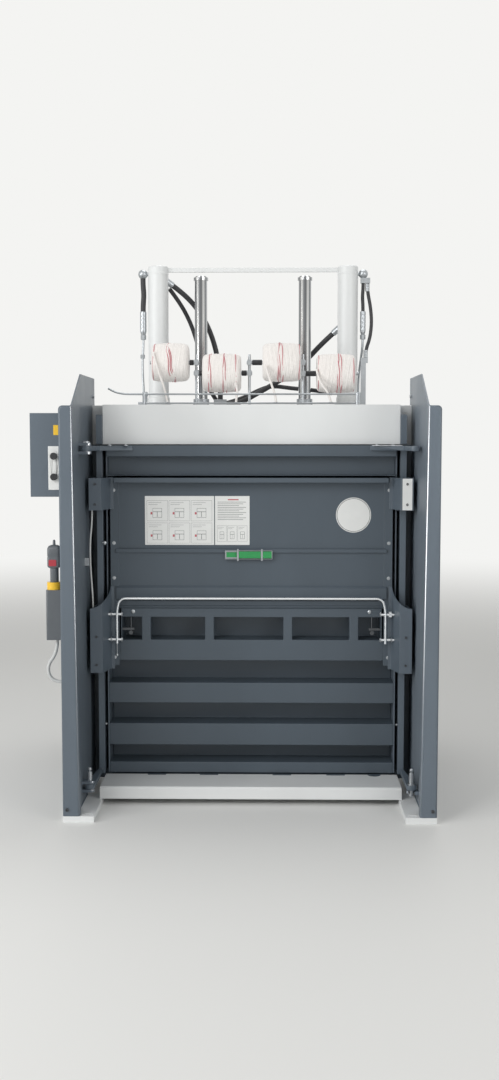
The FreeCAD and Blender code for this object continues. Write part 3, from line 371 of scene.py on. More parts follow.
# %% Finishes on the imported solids
FINISH = {
    "slate_paint": slate, "light_grey_paint": pale, "chrome_plate": chrome, "zinc_steel": zinc,
    "dark_steel": dark_steel, "grey_plastic": grey_plastic, "hose_rubber": hose_rubber,
    "white_plastic": white_plastic, "black_plastic": black_plastic, "yellow_plastic": yellow_plastic,
    "green_plastic": green_plastic, "twine_fibre": paper, "sheet_paper": paper, "grey_lead": grey_lead,
}
# Parts set back between the columns, which get the slate with painted shade.
SHADE_PAINTED_PARTS = ("bale_door", "chamber_", "gate_top_rail", "flap_panel", "press_plate")
slots = {part["node"]: part["material_slot"] for part in frame["record"]["subparts"]}
for name, solid in nodes.items():
    finish = slate_painted_shade if name.startswith(SHADE_PAINTED_PARTS) else FINISH[slots[name]]
    if name in ("bail_handle", "bail_pins"):
        finish = bright_zinc
    solid.data.materials.clear()
    solid.data.materials.append(finish)

FOLDED = ("side_column", "foot_plates", "sill", "head_", "bale_door", "gate_", "flap_panel", "flap_slide",
          "control_cabinet", "button_panel", "oil_tank", "valve_block", "cylinder_tie_bar", "power_inlet",
          "knife_holder")


def wide_fold(solid, x_mm, y_mm, radius_mm):
    """Rounds one upright fold: the vertices at (x, y), on either side of the middle, are a bevelled group."""
    fold = solid.vertex_groups.new(name="upright_fold")
    place = np.array([solid.matrix_world @ vertex.co for vertex in solid.data.vertices]) / MM
    on_fold = (np.abs(np.abs(place[:, 0]) - x_mm) < 0.2) & (np.abs(place[:, 1] - y_mm) < 0.2)
    fold.add([int(k) for k in np.flatnonzero(on_fold)], 1.0, "REPLACE")
    weld = solid.modifiers.new("join_fold", "WELD")
    weld.merge_threshold = 0.00001
    bend = solid.modifiers.new("upright_fold", "BEVEL")
    bend.width = radius_mm * MM
    bend.segments = 8
    bend.limit_method = "VGROUP"
    bend.vertex_group = fold.name
    bend.use_clamp_overlap = False
    return int(on_fold.sum())


def soften(solid, width_mm):
    """Welds a solid's triangles and rounds its edges by that width, where the faces turn over 40 degrees."""
    weld = solid.modifiers.new("join_triangles", "WELD")
    weld.merge_threshold = 0.00001
    round_edge = solid.modifiers.new("folded_edge", "BEVEL")
    round_edge.width = width_mm * MM
    round_edge.segments = 2
    round_edge.limit_method = "ANGLE"
    round_edge.angle_limit = math.radians(40.0)


FRONT, COLUMN_IN = -718.0, 698.0
WIDE_BEND, PANEL_EDGE, SMALL_EDGE = 15.0, 3.0, 1.4
PANELS = ("side_column", "bale_door", "gate_top", "flap_panel")
for word in ("left", "right"):
    print("fold vertices", word, wide_fold(nodes["side_column_" + word], COLUMN_IN, FRONT, WIDE_BEND))
folded = [name for name in nodes if name.startswith(FOLDED)]
for name in folded:
    soften(nodes[name], PANEL_EDGE if name.startswith(PANELS) else SMALL_EDGE)
print("softened", len(folded), "nodes")

# %% [markdown]
# The camera stands where the photographer stood: at eye height, 4.8 m in front of the columns, with
# the lens pitched down a little. A tall sensor fit keeps the picture's height fixed. The lamps are
# large and soft, with the stronger one at the front left, and the world fills the shadows evenly.
# Two tall strips stand at the sides. Each only draws the bright line along the bend of the column
# that faces it.

# %% Camera
IMAGE = (499, 1080)
FOCAL_PX = 1227.0
camera_data = bpy.data.cameras.new("camera")
camera_data.sensor_fit = "VERTICAL"
camera_data.sensor_height = 24.0
camera_data.lens = FOCAL_PX * camera_data.sensor_height / IMAGE[1]
camera = add_object("camera", camera_data)
camera.location = (0.078, (FRONT - 4811.0) * MM, 1.536)
camera.rotation_euler = (math.radians(85.3), 0.0, math.radians(0.93))
bpy.context.scene.camera = camera
bpy.context.scene.view_settings.view_transform = "Standard"
print("lens", round(camera_data.lens, 2), "mm")

# %% Floor, world and lamps


def floor_plane(half, colour, backdrop):
    """A square floor at z = 0, not part of the machine. From 3 to 11 m out it fades into the backdrop."""
    mesh = bpy.data.meshes.new("floor")
    corners = [(-half, -half, 0), (half, -half, 0), (half, half, 0), (-half, half, 0)]
    mesh.from_pydata(corners, [], [(0, 1, 2, 3)])
    material, tree, shader, place = new_material("painted_floor", colour, 0.6)
    out = node(tree, "VectorMath", {}, [(place, 0)], operation="LENGTH")
    far = node(tree, "MapRange", {"From Min": 3.0, "From Max": 11.0}, [(out.outputs["Value"], "Value")],
               interpolation_type="SMOOTHSTEP")
    glow = node(tree, "Emission", {"Color": linear(backdrop), "Strength": 1.0})
    mix = node(tree, "MixShader", {}, [(far.outputs["Result"], 0), (shader.outputs[0], 1),
                                       (glow.outputs[0], 2)])
    tree.links.new(mix.outputs[0], tree.nodes["Material Output"].inputs["Surface"])
    mesh.materials.append(material)
    add_object("floor", mesh)


def soft_world(fill):
    """A white world: camera, glossy and transmission rays see full white, other rays the fill strength."""
    world = bpy.data.worlds.new("studio")
    bpy.context.scene.world = world
    world.use_nodes = True
    tree = world.node_tree
    back = tree.nodes["Background"]
    back.inputs["Color"].default_value = linear("#F4F4F2")
    rays = tree.nodes.new("ShaderNodeLightPath")
    seen = node(tree, "Math", {}, [(rays.outputs["Is Camera Ray"], 0), (rays.outputs["Is Glossy Ray"], 1)],
                operation="MAXIMUM")
    seen = node(tree, "Math", {}, [(seen.outputs[0], 0), (rays.outputs["Is Transmission Ray"], 1)],
                operation="MAXIMUM")
    strength = node(tree, "MapRange", {"To Min": fill, "To Max": 1.0}, [(seen.outputs[0], "Value")])
    tree.links.new(strength.outputs["Result"], back.inputs["Strength"])


def area_lamp(name, place, aim, size, power):
    """A square area lamp turned towards a point."""
    data = bpy.data.lights.new(name, "AREA")
    data.size = size
    data.energy = power
    lamp = add_object(name, data)
    lamp.location = place
    way = np.array(aim) - np.array(place)
    lamp.rotation_euler = (math.pi - math.acos(way[2] / np.linalg.norm(way)),
                           0.0, math.atan2(way[1], way[0]) - math.pi / 2.0)
    return lamp


def strip_lamp(name, place, aim, width, height, power, lit):
    """A tall narrow lamp that shows only as a reflection, and only on the solids named."""
    lamp = area_lamp(name, place, aim, width, power)
    lamp.data.shape = "RECTANGLE"
    lamp.data.size_y = height
    lamp.visible_diffuse = False
    receivers = bpy.data.collections.new(name + "_receivers")
    for solid in lit:
        receivers.objects.link(nodes[solid])
    lamp.light_linking.receiver_collection = receivers


floor_plane(30.0, "#E9E9E7", "#F4F4F2")
soft_world(0.42)
area_lamp("key", (-3.4, -5.2, 4.4), (0.0, -0.3, 1.2), 2.4, 122.0)
area_lamp("side", (-4.6, -3.2, 1.9), (0.7, -0.5, 1.0), 1.6, 82.0)
area_lamp("fill", (3.8, -4.6, 2.6), (0.0, -0.3, 1.1), 2.6, 62.0)
area_lamp("top", (0.3, 1.2, 5.2), (0.0, 0.0, 1.6), 2.4, 50.0)
strip_lamp("strip_left", (-3.3, -1.9, 1.4), (0.7, -0.7, 1.3), 0.5, 2.4, 1100.0, ("side_column_right",))
strip_lamp("strip_right", (3.3, -1.9, 1.4), (-0.7, -0.7, 1.3), 0.5, 2.4, 700.0, ("side_column_left",))

# %% [markdown]
# The hoses are held at both ends, so they follow the same points as the solids that they replace,
# in the same order, as smooth lines. Wire-braided rubber of 24 mm bends gently: no bend is tighter
# than about five diameters. The steel pipes below the crimped ends are treated the same way.

# %% Hoses and pipes
RAM_Y, DROP_X = 257.0, 512.0
PORT_Z, HEAD_TOP = 2300.0, 1683.0
HOSE_R, TWIN_R, PIPE_R, BALL_R = 12.0, 8.0, 5.5, 22.0
BALL_FOOT = PORT_Z - math.sqrt(BALL_R ** 2 - HOSE_R ** 2)
FERRULE_FOOT, FERRULE_TOP = 2013.0, 2128.0
TWIN_TOP = BALL_FOOT - 24.0
OUTER_X, OUTER_FOOT_X, OUTER_FOOT = 532.0, 526.0, 1915.0
UNION_X, UNION_BACK, UNION_TOP = 496.0, 46.0, HEAD_TOP + 22.0


def laid(route):
    """A route of (x, back, z) points in real places: back counts from the line of the cylinders, RAM_Y."""
    return [(x, RAM_Y + back, z) for x, back, z in route]


def hose(name, radius, route, *replaced):
    """A rubber hose along a route."""
    wire(name, laid(route), radius, hose_rubber, "frame", replaced)


def pipe(name, route, *replaced):
    """A steel pipe along a route."""
    wire(name, laid(route), PIPE_R, zinc, "frame", replaced)


hose("hose_left_line", HOSE_R, (
    (-DROP_X, 0.0, BALL_FOOT), (-DROP_X, 0.0, 2252.0), (-DROP_X + 4.0, 0.0, 2205.0),
    (-DROP_X, 0.0, 2158.0), (-DROP_X, 0.0, FERRULE_TOP)), "hose_left")
hose("hose_right_inner_line", TWIN_R, (
    (DROP_X, 0.0, TWIN_TOP), (DROP_X, 0.0, 2232.0), (DROP_X - 3.0, 0.0, 2195.0),
    (DROP_X, 0.0, 2155.0), (DROP_X, 0.0, FERRULE_TOP)), "hose_right")
hose("hose_right_outer_line", TWIN_R, (
    (OUTER_X, 0.0, TWIN_TOP), (OUTER_X, 0.0, 2222.0), (548.0, 0.0, 2145.0), (553.0, 0.0, 2075.0),
    (546.0, 0.0, 2005.0), (OUTER_FOOT_X, 0.0, 1950.0), (OUTER_FOOT_X, 0.0, OUTER_FOOT)), "hose_right")
pipe("pipe_left_line", (
    (-DROP_X, 0.0, FERRULE_FOOT), (-DROP_X, 0.0, 1970.0), (-DROP_X - 5.0, 0.0, 1900.0),
    (-DROP_X - 4.0, 0.0, 1830.0), (-DROP_X, 0.0, 1770.0), (-DROP_X, 0.0, UNION_TOP)), "pipe_left")
pipe("pipe_right_line", (
    (DROP_X, 0.0, FERRULE_FOOT), (DROP_X, 0.0, 1975.0), (DROP_X - 6.0, 12.0, 1915.0),
    (498.0, 36.0, 1850.0), (UNION_X, UNION_BACK, 1790.0), (UNION_X, UNION_BACK, UNION_TOP)), "pipe_right")
hose("hose_supply_line", HOSE_R, (
    (-376.0, 24.0, 2252.0), (-320.0, 48.0, 2212.0), (-255.0, 66.0, 2140.0), (-205.0, 70.0, 2050.0),
    (-172.0, 68.0, 1945.0), (-155.0, 65.0, 1835.0), (-155.0, 65.0, HEAD_TOP + 40.0)), "hose_supply")
hose("hose_return_line", HOSE_R, (
    (376.0, 24.0, 2030.0), (325.0, 50.0, 1985.0), (262.0, 68.0, 1918.0), (195.0, 74.0, 1856.0),
    (115.0, 72.0, 1806.0), (30.0, 68.0, 1757.0), (-40.0, 65.0, 1718.0), (-90.0, 65.0, 1703.0),
    (-125.0, 65.0, 1703.0)), "hose_return")

INLET_Y, CABLE_Y = FRONT + 112.0, FRONT + 360.0
power_route = ((-783.0, 727.0), (-783.0, 697.0), (-795.0, 657.0), (-822.0, 622.0), (-820.0, 576.0),
               (-790.0, 550.0), (-751.0, 550.0))
cable_route = ((-672.0, 1237.0), (-672.0, 1190.0), (-681.0, 1110.0), (-682.0, 1020.0), (-676.0, 920.0),
               (-672.0, 860.0), (-672.0, 821.9))
wire("power_lead_line", [(x, INLET_Y, z) for x, z in power_route], 7.0, grey_lead, "frame",
     ["power_lead"])
wire("flap_cable_line", [(x, CABLE_Y, z) for x, z in cable_route], 3.5, grey_lead, "flap",
     ["flap_cable"])
print("hoses, pipes and cables laid")

# %% [markdown]
# Baling twine is a loose bundle of white polyester fibre, cross-wound on a tube: each turn runs round
# the roll and drifts along it, and the next layer drifts back. The surface is the roll's barrel
# shape plus two families of ridges that cross, with the higher one on top, as wound turns lie.
# A pink tracer thread shows where single turns cross the face.

# %% Twine material


def twine_material(name, dark, light):
    """Spun polyester twine: matt white fibre with a 1 mm strand grain and soft sheen."""
    material, tree, shader, place = new_material(name, light, 0.75)
    mottle(tree, shader, place, 9.0, dark, light)
    strand = node(tree, "TexNoise", {"Scale": per_metre(1.6), "Detail": 3.0}, [(place, "Vector")])
    bump(tree, shader, strand.outputs["Fac"], 0.5, 0.7)
    shader.inputs["Sheen Weight"].default_value = 0.25
    return material


twine = twine_material("polyester_twine", "#E7E2DD", "#F8F4F1")
tracer = twine_material("pink_tracer_twine", "#B4525F", "#CE7581")

# %% Wound rolls
RACK_Y = FRONT + 600.0
ROLL_R = 87.0
ROLLS = ((-435.0, -275.0, 1870.0), (-214.0, -47.0, 1824.0), (48.0, 214.0, 1870.0), (284.0, 452.0, 1822.0))
TURN_PITCH, CROSSINGS = 6.5, 9
TUBE_R, BORE_R = 20.0, 8.2
STEPS_ROUND, STEPS_LONG = 200, 104


def barrel_radius(t):
    """The roll's outline over its length, t from 0 to 1: full in the middle, drawn in at round shoulders."""
    return ROLL_R - 2.5 - 5.0 * (2.0 * t - 1.0) ** 2 - 13.0 * np.abs(2.0 * t - 1.0) ** 14


def ridge(phase):
    """The height of a round strand beside its neighbours: the root of 1 - 0.85 x^2 across each turn."""
    x = 2.0 * (phase - np.floor(phase)) - 1.0
    return np.sqrt(np.clip(1.0 - 0.85 * x * x, 0.0, 1.0))


def wound_roll(name, x0, x1, z, seed):
    """A cross-wound roll: barrel radius plus the higher of two ridge families that drift opposite ways."""
    around = np.linspace(0.0, 1.0, STEPS_ROUND, endpoint=False)[None, :]
    t = np.linspace(0.0, 1.0, STEPS_LONG)[:, None]
    along = t * (x1 - x0) / TURN_PITCH
    shift = 0.37 * seed
    over = ridge(along * 0.8 + CROSSINGS * around + shift)
    under = ridge(along * 0.8 - CROSSINGS * around + 2.0 * shift)
    weave = np.sin(2.0 * np.pi * (3.0 * around + 2.5 * t + shift))
    height = np.maximum(over + 0.35 * weave, under - 0.35 * weave)
    bands = np.sin(2.0 * np.pi * (along / 2.6 + 0.5 * np.sin(2.0 * np.pi * (around + shift)) + shift))
    r = barrel_radius(t) + 2.2 * (height - 1.0) + 0.35 * (bands - 1.0)
    a = 2.0 * np.pi * around
    x = np.broadcast_to(x0 + t * (x1 - x0), r.shape)
    side = np.stack([x, RACK_Y + r * np.cos(a), z + r * np.sin(a)], -1)
    ends = []
    for x, inner, ring in ((x0, 1.0, side[0]), (x1, -1.0, side[-1])):
        inward = np.linspace(0.95, 0.0, 14)[:, None]
        rim = np.hypot(ring[:, 1] - RACK_Y, ring[:, 2] - z)[None, :]
        radius = TUBE_R + (rim - TUBE_R) * inward
        depth = inner * (1.4 * ridge(radius / 4.5 + around * CROSSINGS) - 1.0)
        angle = np.broadcast_to(a, radius.shape)
        ends.append(np.stack([x + depth, RACK_Y + radius * np.cos(angle), z + radius * np.sin(angle)], -1))
    bore_y, bore_z = RACK_Y + BORE_R * np.cos(a[0]), z + BORE_R * np.sin(a[0])
    bore = [np.stack([np.full(STEPS_ROUND, x), bore_y, bore_z], -1)[None] for x in (x0 + 3.0, x1 - 3.0)]
    grid = np.concatenate([bore[0], ends[0][::-1], side, ends[1], bore[1]])
    made = add_surface(name, grid, twine, "roll_%d" % seed, wrap_u=True, wrap_v=True)
    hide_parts("twine_roll_%d" % seed)


def strand_loop(name, path, radius, material, body):
    """A thin closed strand: a circle of six points carried round a path, square to it at each point."""
    ahead = np.roll(path, -1, 0) - np.roll(path, 1, 0)
    ahead /= np.linalg.norm(ahead, axis=1)[:, None]
    out = np.cross(ahead, (1.0, 0.0, 0.0))
    out /= np.linalg.norm(out, axis=1)[:, None]
    side = np.cross(ahead, out)
    a = np.linspace(0.0, 2.0 * np.pi, 6, endpoint=False)[None, :, None]
    grid = path[:, None] + radius * (np.cos(a) * out[:, None] + np.sin(a) * side[:, None])
    add_surface(name, grid, material, body, wrap_u=True, wrap_v=True)


def tracer_turn(name, x0, x1, z, seed, middle, swing, phase):
    """One tracer turn: once round with a sine drift along the roll, at a radius that dips under the white."""
    a = np.linspace(0.0, 2.0 * np.pi, 120, endpoint=False)
    t = middle + swing * np.sin(a + phase) + 0.25 * swing * np.sin(5.0 * a + 2.0 * phase)
    r = barrel_radius(t) - 0.6 + 1.5 * np.sin(3.0 * a + 1.7 * phase)
    path = np.stack([x0 + t * (x1 - x0), RACK_Y + r * np.cos(a), z + r * np.sin(a)], -1)
    strand_loop(name, path, 1.7, tracer, "roll_%d" % seed)


TRACERS = (
    ((0.50, 0.07, 2.6), (0.54, 0.08, 2.9), (0.56, 0.09, 3.1), (0.07, 0.03, 0.6)),
    ((0.18, 0.02, 0.4), (0.24, 0.02, 2.2), (0.56, 0.02, 1.0), (0.60, 0.03, 3.3), (0.86, 0.02, 4.4)),
    ((0.43, 0.03, 1.2), (0.47, 0.03, 2.0), (0.51, 0.02, 3.9), (0.95, 0.01, 5.2)),
    ((0.55, 0.03, 0.9), (0.58, 0.04, 2.5), (0.61, 0.02, 4.2), (0.05, 0.02, 1.4), (0.94, 0.01, 3.0)),
)
for number, (start, end, height) in enumerate(ROLLS, 1):
    wound_roll("twine_roll_%d_wound" % number, start, end, height, number)
    for turn, shape in enumerate(TRACERS[number - 1], 1):
        tracer_turn("twine_roll_%d_tracer_%d" % (number, turn), start, end, height, number, *shape)
print("wound", len(ROLLS), "rolls")

# %% Twine tails to the eyelets


def eyelet(name, x, y, z):
    """A wire eye for the twine: a small ring, a circle of radius 9 mm swept round by one of 2 mm."""
    u = np.linspace(0.0, 2.0 * np.pi, 28, endpoint=False)[:, None]
    v = np.linspace(0.0, 2.0 * np.pi, 10, endpoint=False)[None, :]
    r = 9.0 + 2.0 * np.cos(v)
    grid = np.stack([x + r * np.cos(u), y + r * np.sin(u), z + 2.0 * np.sin(v) + 0.0 * u], -1)
    add_surface(name, grid, zinc, "frame", wrap_u=True, wrap_v=True)


TAIL_R = 5.0
TAILS = (
    ((-424.0, -199.0, 1910.0), (-414.0, -211.0, 1872.0), (-396.0, -211.0, 1812.0),
     (-374.0, -212.0, 1752.0), (-362.0, -214.0, 1694.0)),
    ((-70.0, -200.0, 1778.0), (-60.0, -211.0, 1750.0), (-64.0, -213.0, 1722.0), (-66.0, -214.0, 1694.0)),
    ((60.0, -206.0, 1852.0), (72.0, -211.0, 1812.0), (90.0, -212.0, 1760.0), (103.0, -213.0, 1722.0),
     (106.0, -214.0, 1694.0)),
    ((280.0, -196.0, 1836.0), (288.0, -207.0, 1800.0), (304.0, -211.0, 1766.0),
     (330.0, -213.0, 1738.0), (342.0, -214.0, 1694.0)),
)
for number, points in enumerate(TAILS, 1):
    wire("twine_tail_%d" % number, points, TAIL_R, twine, "frame")
    x, y, z = points[-1]
    eyelet("twine_eyelet_%d" % number, x, y, z - 1.0)
print("tails", len(TAILS))

# %% [markdown]
# Machine screws hold everything that isn't welded. A hexagon head is a six-sided turned piece with a
# chamfered top, which is how it is really made: a hexagon bar turned down. A washer goes under it.
# Socket-head screws are round, with a recess at the middle.

# %% Screws
FORWARD, BACKWARD = (0.0, -1.0, 0.0), (0.0, 1.0, 0.0)
UPWARD, DOWNWARD = (0.0, 0.0, 1.0), (0.0, 0.0, -1.0)
ROOT_THREE = 1.732


def hex_screw(name, place, axis, across_flats, body):
    """A hexagon head on a washer: the washer is round, the head six-sided, a third of its width high."""
    r = across_flats / ROOT_THREE
    tall = 0.33 * across_flats
    washer = [(0.0, -0.5), (r * 1.45, -0.5), (r * 1.45, 1.4), (0.0, 1.4)]
    head = [(0.0, 1.2), (r, 1.2), (r, 1.2 + tall * 0.85), (r * 0.86, 1.2 + tall), (0.0, 1.2 + tall)]
    turned(name + "_washer", washer, place, axis, zinc, body, 32, smooth=False)
    turned(name, head, place, axis, zinc, body, 6, smooth=False)


def socket_screw(name, place, axis, r, body, material=dark_steel):
    """A round head with a blind recess: the profile dips to the socket floor at the middle."""
    head = [(0.0, -0.4), (r, -0.4), (r, 0.7 * r), (0.88 * r, 0.85 * r), (0.5 * r, 0.85 * r),
            (0.48 * r, 0.2 * r), (0.0, 0.15 * r)]
    turned(name, head, place, axis, material, body, 24, smooth=False)


SHOES = (("top", 1262.0), ("top", 1348.0), ("low", 580.0), ("low", 700.0))
for side, word in ((-1, "left"), (1, "right")):
    socket_screw("column_%s_foot_screw" % word, (side * 733.0, FRONT - 0.2, 52.0), FORWARD, 7.0, "frame")
    for shoe, z in SHOES:
        name = "%s_shoe_%s_screw_%d" % (shoe, word, z)
        socket_screw(name, (side * 655.0, FRONT + 330.0, z), FORWARD, 5.0, "flap")
    for x in (532.0, 600.0):
        hex_screw("strap_%s_screw_%d" % (word, x), (side * x, FRONT + 402.0, 1508.0), UPWARD, 13.0, "gate")
    dome = [(0.0, -0.5), (9.0, -0.5), (9.0, 0.8), (6.5, 2.6), (3.0, 3.4), (0.0, 3.6)]
    turned("rail_screw_%s" % word, dome, (side * 512.0, FRONT + 450.0, 792.0), FORWARD,
           zinc, "gate", 32)

# %% [markdown]
# Crimped hose ends are steel shells pressed onto the rubber, which leaves rings. Below each one sits
# a hexagon nut. The collars here are turned profiles with shallow grooves, a hair wider than the
# plain solids under them.

# %% Crimps and nuts


def crimp(name, x, y, z0, z1, r):
    """A crimped shell: five shallow grooves along it, as a rounded wave in the radius."""
    t = np.linspace(0.0, 1.0, 41)
    wave = 0.9 * np.abs(np.sin(5.0 * np.pi * t)) ** 0.5
    rows = [(0.0, z0)] + list(zip((r + wave).tolist(), (z0 + t * (z1 - z0)).tolist())) + [(0.0, z1)]
    turned(name, rows, (x, y, 0.0), UPWARD, zinc, "frame", 40)


def hex_nut(name, x, y, z0, z1, across_flats):
    """A hexagon nut with both corners chamfered."""
    r = across_flats / ROOT_THREE
    rows = [(0.0, z0), (r * 0.88, z0), (r, z0 + 2.0), (r, z1 - 2.0), (r * 0.88, z1), (0.0, z1)]
    turned(name, rows, (x, y, 0.0), UPWARD, zinc, "frame", 6, smooth=False)


for word, x, r in (("left", -DROP_X, 14.0), ("right", DROP_X, 12.0)):
    crimp("crimp_%s" % word, x, RAM_Y, FERRULE_FOOT + 22.0, FERRULE_TOP, r)
    hex_nut("crimp_nut_%s" % word, x, RAM_Y, FERRULE_FOOT - 14.0, FERRULE_FOOT + 8.0, 22.0)
hex_nut("union_nut_left", -DROP_X, RAM_Y, HEAD_TOP + 1.0, HEAD_TOP + 17.0, 24.0)
hex_nut("union_nut_right", UNION_X, RAM_Y + UNION_BACK, HEAD_TOP + 1.0, HEAD_TOP + 17.0, 24.0)
hex_nut("pipe_joint_left", -DROP_X - 4.0, RAM_Y, 1912.0, 1930.0, 18.0)
crimp("crimp_outer", OUTER_X, RAM_Y, TWIN_TOP - 38.0, TWIN_TOP - 2.0, 9.2)
crimp("crimp_outer_foot", OUTER_FOOT_X, RAM_Y, OUTER_FOOT, OUTER_FOOT + 35.0, 9.2)

# %% [markdown]
# The paper sheets show how to thread the twine. Their real content stays off the part: a few ruled
# fields, plain arrows and blocks stand in for it. Each mark is a thin printed film, one flat quad a
# tenth of a millimetre proud of the sheet, and one mesh holds a whole page.

# %% Printed fields
MARKS_Y = FRONT + 438.5 - 0.12


def print_marks(name, marks, material):
    """Flat marks on the sheets: each is a rectangle (x0, x1, z0, z1) in mm, as one quad facing forward."""
    marks = np.array(marks, float)
    x0, x1, z0, z1 = marks.T
    y = np.full(len(marks), MARKS_Y)
    corners = np.stack([np.stack([x0, y, z0], -1), np.stack([x1, y, z0], -1),
                        np.stack([x1, y, z1], -1), np.stack([x0, y, z1], -1)], 1)
    faces = np.arange(4 * len(marks)).reshape(-1, 4).tolist()
    mesh = bpy.data.meshes.new(name)
    mesh.from_pydata((corners.reshape(-1, 3) * MM).tolist(), [], faces)
    mesh.materials.append(material)
    piece = add_object(name, mesh)
    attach(piece, "flap")


def box_outline(x0, x1, z0, z1, t):
    """The four sides of a ruled field, t mm thick."""
    return [(x0, x1, z0, z0 + t), (x0, x1, z1 - t, z1), (x0, x0 + t, z0, z1), (x1 - t, x1, z0, z1)]


def field(x0, x1, z0, z1):
    """One instruction field: a thin frame, two caption lines, and the outline of a machine with an arrow."""
    w, h = x1 - x0, z1 - z0
    marks = box_outline(x0, x1, z0, z1, 0.7)
    marks += box_outline(x0 + 0.28 * w, x0 + 0.72 * w, z0 + 0.16 * h, z0 + 0.62 * h, 1.1)
    marks += [(x0 + 0.28 * w, x0 + 0.72 * w, z0 + 0.44 * h, z0 + 0.46 * h),
              (x0 + 0.49 * w, x0 + 0.51 * w, z0 + 0.2 * h, z0 + 0.44 * h)]
    for row, share in enumerate((0.7, 0.52)):
        z = z1 - (0.1 + 0.09 * row) * h
        marks.append((x0 + 0.08 * w, x0 + share * w, z - 0.9, z))
    return marks


WIDE_SHEET = [(-448.0 + column * 95.0, 1090.0 + row * 96.0) for column in range(3) for row in range(2)]
LINE_ENDS = (-22.0, -34.0, -52.0)
drawings, accents = [], [(-100.0, -54.0, 1275.0, 1280.0)]
for left, low in WIDE_SHEET:
    drawings += field(left, left + 90.0, low, low + 88.0)
    accents.append((left + 16.0, left + 24.0, low + 28.0, low + 38.0))
print_marks("wide_sheet_fields", drawings, ink)
lines = []
for row in range(11):
    z = 1268.0 - 7.5 * row
    lines.append((-144.0, LINE_ENDS[row % 3], z - 1.6, z))
for left in (-146.0, -102.0, -58.0):
    lines += field(left, left + 41.0, 1098.0, 1166.0)
print_marks("tall_sheet_lines", lines, ink)
print_marks("sheet_accents", accents, ink_red)

# %% [markdown]
# The small fittings come next: stop collars on the roll axles, clips over the knife, a knob on the
# gate post and a cable clip. The inlet plug is a moulded housing, so it is a stack of rounded
# rectangles, each a superellipse, that narrows to the cable at its top.

# %% Small fittings
AXLE_GAPS = ((-272.0, -254.0, 1870.0), (-230.0, -217.0, 1824.0), (-44.0, -22.0, 1824.0),
             (2.0, 45.0, 1870.0), (236.0, 281.0, 1822.0))
for number, (start, end, height) in enumerate(AXLE_GAPS, 1):
    long = end - start
    collar = [(7.0, 0.0), (11.0, 0.0), (12.0, 1.0), (12.0, long - 1.0), (11.0, long), (7.0, long)]
    turned("axle_collar_%d" % number, collar, (start, RACK_Y, height), (1.0, 0.0, 0.0),
           black_plastic, "frame", 32)

CLIP_Y = FRONT + 412.6
for number, x in enumerate((-57.0, 46.0), 1):
    plate("knife_clip_%d" % number, (x - 4.0, CLIP_Y, 1016.0), (x + 4.0, FRONT + 414.4, 1068.0), "y", 3.0,
          zinc, "flap")
    for z in (1019.5, 1064.5):
        socket_screw("knife_clip_%d_screw_%d" % (number, z), (x, CLIP_Y, z), FORWARD, 2.6,
                     "flap", zinc)

POST_Y, PIN_Y = FRONT + 430.0, FRONT + 403.0
for side, word in ((-1, "left"), (1, "right")):
    inward = (-side, 0.0, 0.0)
    for z in (1318.0, 1091.0, 940.0, 595.0):
        hex_screw("stile_%s_screw_%d" % (word, z), (side * 590.0, FRONT + 438.0, z), FORWARD, 9.0, "flap")
    socket_screw("post_%s_screw" % word, (side * 629.0, POST_Y, 304.0), FORWARD, 4.5,
                 "gate", zinc)
    socket_screw("fin_%s_screw" % word, (side * COLUMN_IN, RACK_Y, 1722.0), inward, 8.0,
                 "frame", zinc)
    for z in (678.0, 787.0):
        hex_screw("bail_pin_%s_head_%d" % (word, z), (side * 556.0, PIN_Y, z), inward, 15.0, "flap")
        hex_screw("bail_pin_%s_nut_%d" % (word, z), (side * 602.0, PIN_Y, z), inward, 13.0, "flap")

knob = [(0.0, -0.5), (6.0, -0.5), (6.0, 6.0), (8.0, 7.0), (9.0, 12.0), (8.0, 16.0), (5.0, 18.5), (0.0, 19.0)]
turned("post_knob", knob, (-628.0, POST_Y, 1093.0), FORWARD, zinc, "gate", 32)
plate("cable_clip", (-COLUMN_IN - 0.5, FRONT + 322.0, 1003.0), (-681.5, FRONT + 344.0, 1037.0), "x", 3.0,
      zinc, "frame")
# A pale plate on the face of the right top shoe only; the left shoe has none.
plate("right_top_shoe_pale_plate", (635.0, FRONT + 328.7, 1239.0), (676.0, FRONT + 330.1, 1371.0), "y", 2.0,
      white_plastic, "flap")
plate("cabinet_plate", (-786.0, FRONT + 98.6, 1552.0), (-764.0, FRONT + 100.1, 1592.0), "y", 2.0,
      yellow_plastic, "frame")
tether = [(0.0, 0.0), (1.8, 0.0), (1.8, 44.0), (5.0, 46.0), (6.5, 51.0), (5.0, 56.0), (0.0, 57.0)]
turned("bail_tether", tether, (-575.0, FRONT + 395.0, 663.0), DOWNWARD, zinc, "flap", 24)
plate("strap_wear_plate", (512.0, FRONT + 386.0, 1507.9), (640.0, FRONT + 426.0, 1509.6), "z", 3.0,
      bright_zinc, "gate")
print("small fittings placed")

# %% Inlet plug


def superellipse(half_x, half_y, power):
    """A rounded rectangle as |x/a|^n + |y/b|^n = 1: x = a * sign(cos) * |cos|^(2/n), and y with the sine."""
    a = np.linspace(0.0, 2.0 * np.pi, 48, endpoint=False)
    x = half_x * np.sign(np.cos(a)) * np.abs(np.cos(a)) ** (2.0 / power)
    y = half_y * np.sign(np.sin(a)) * np.abs(np.sin(a)) ** (2.0 / power)
    return np.stack([x, y], -1)


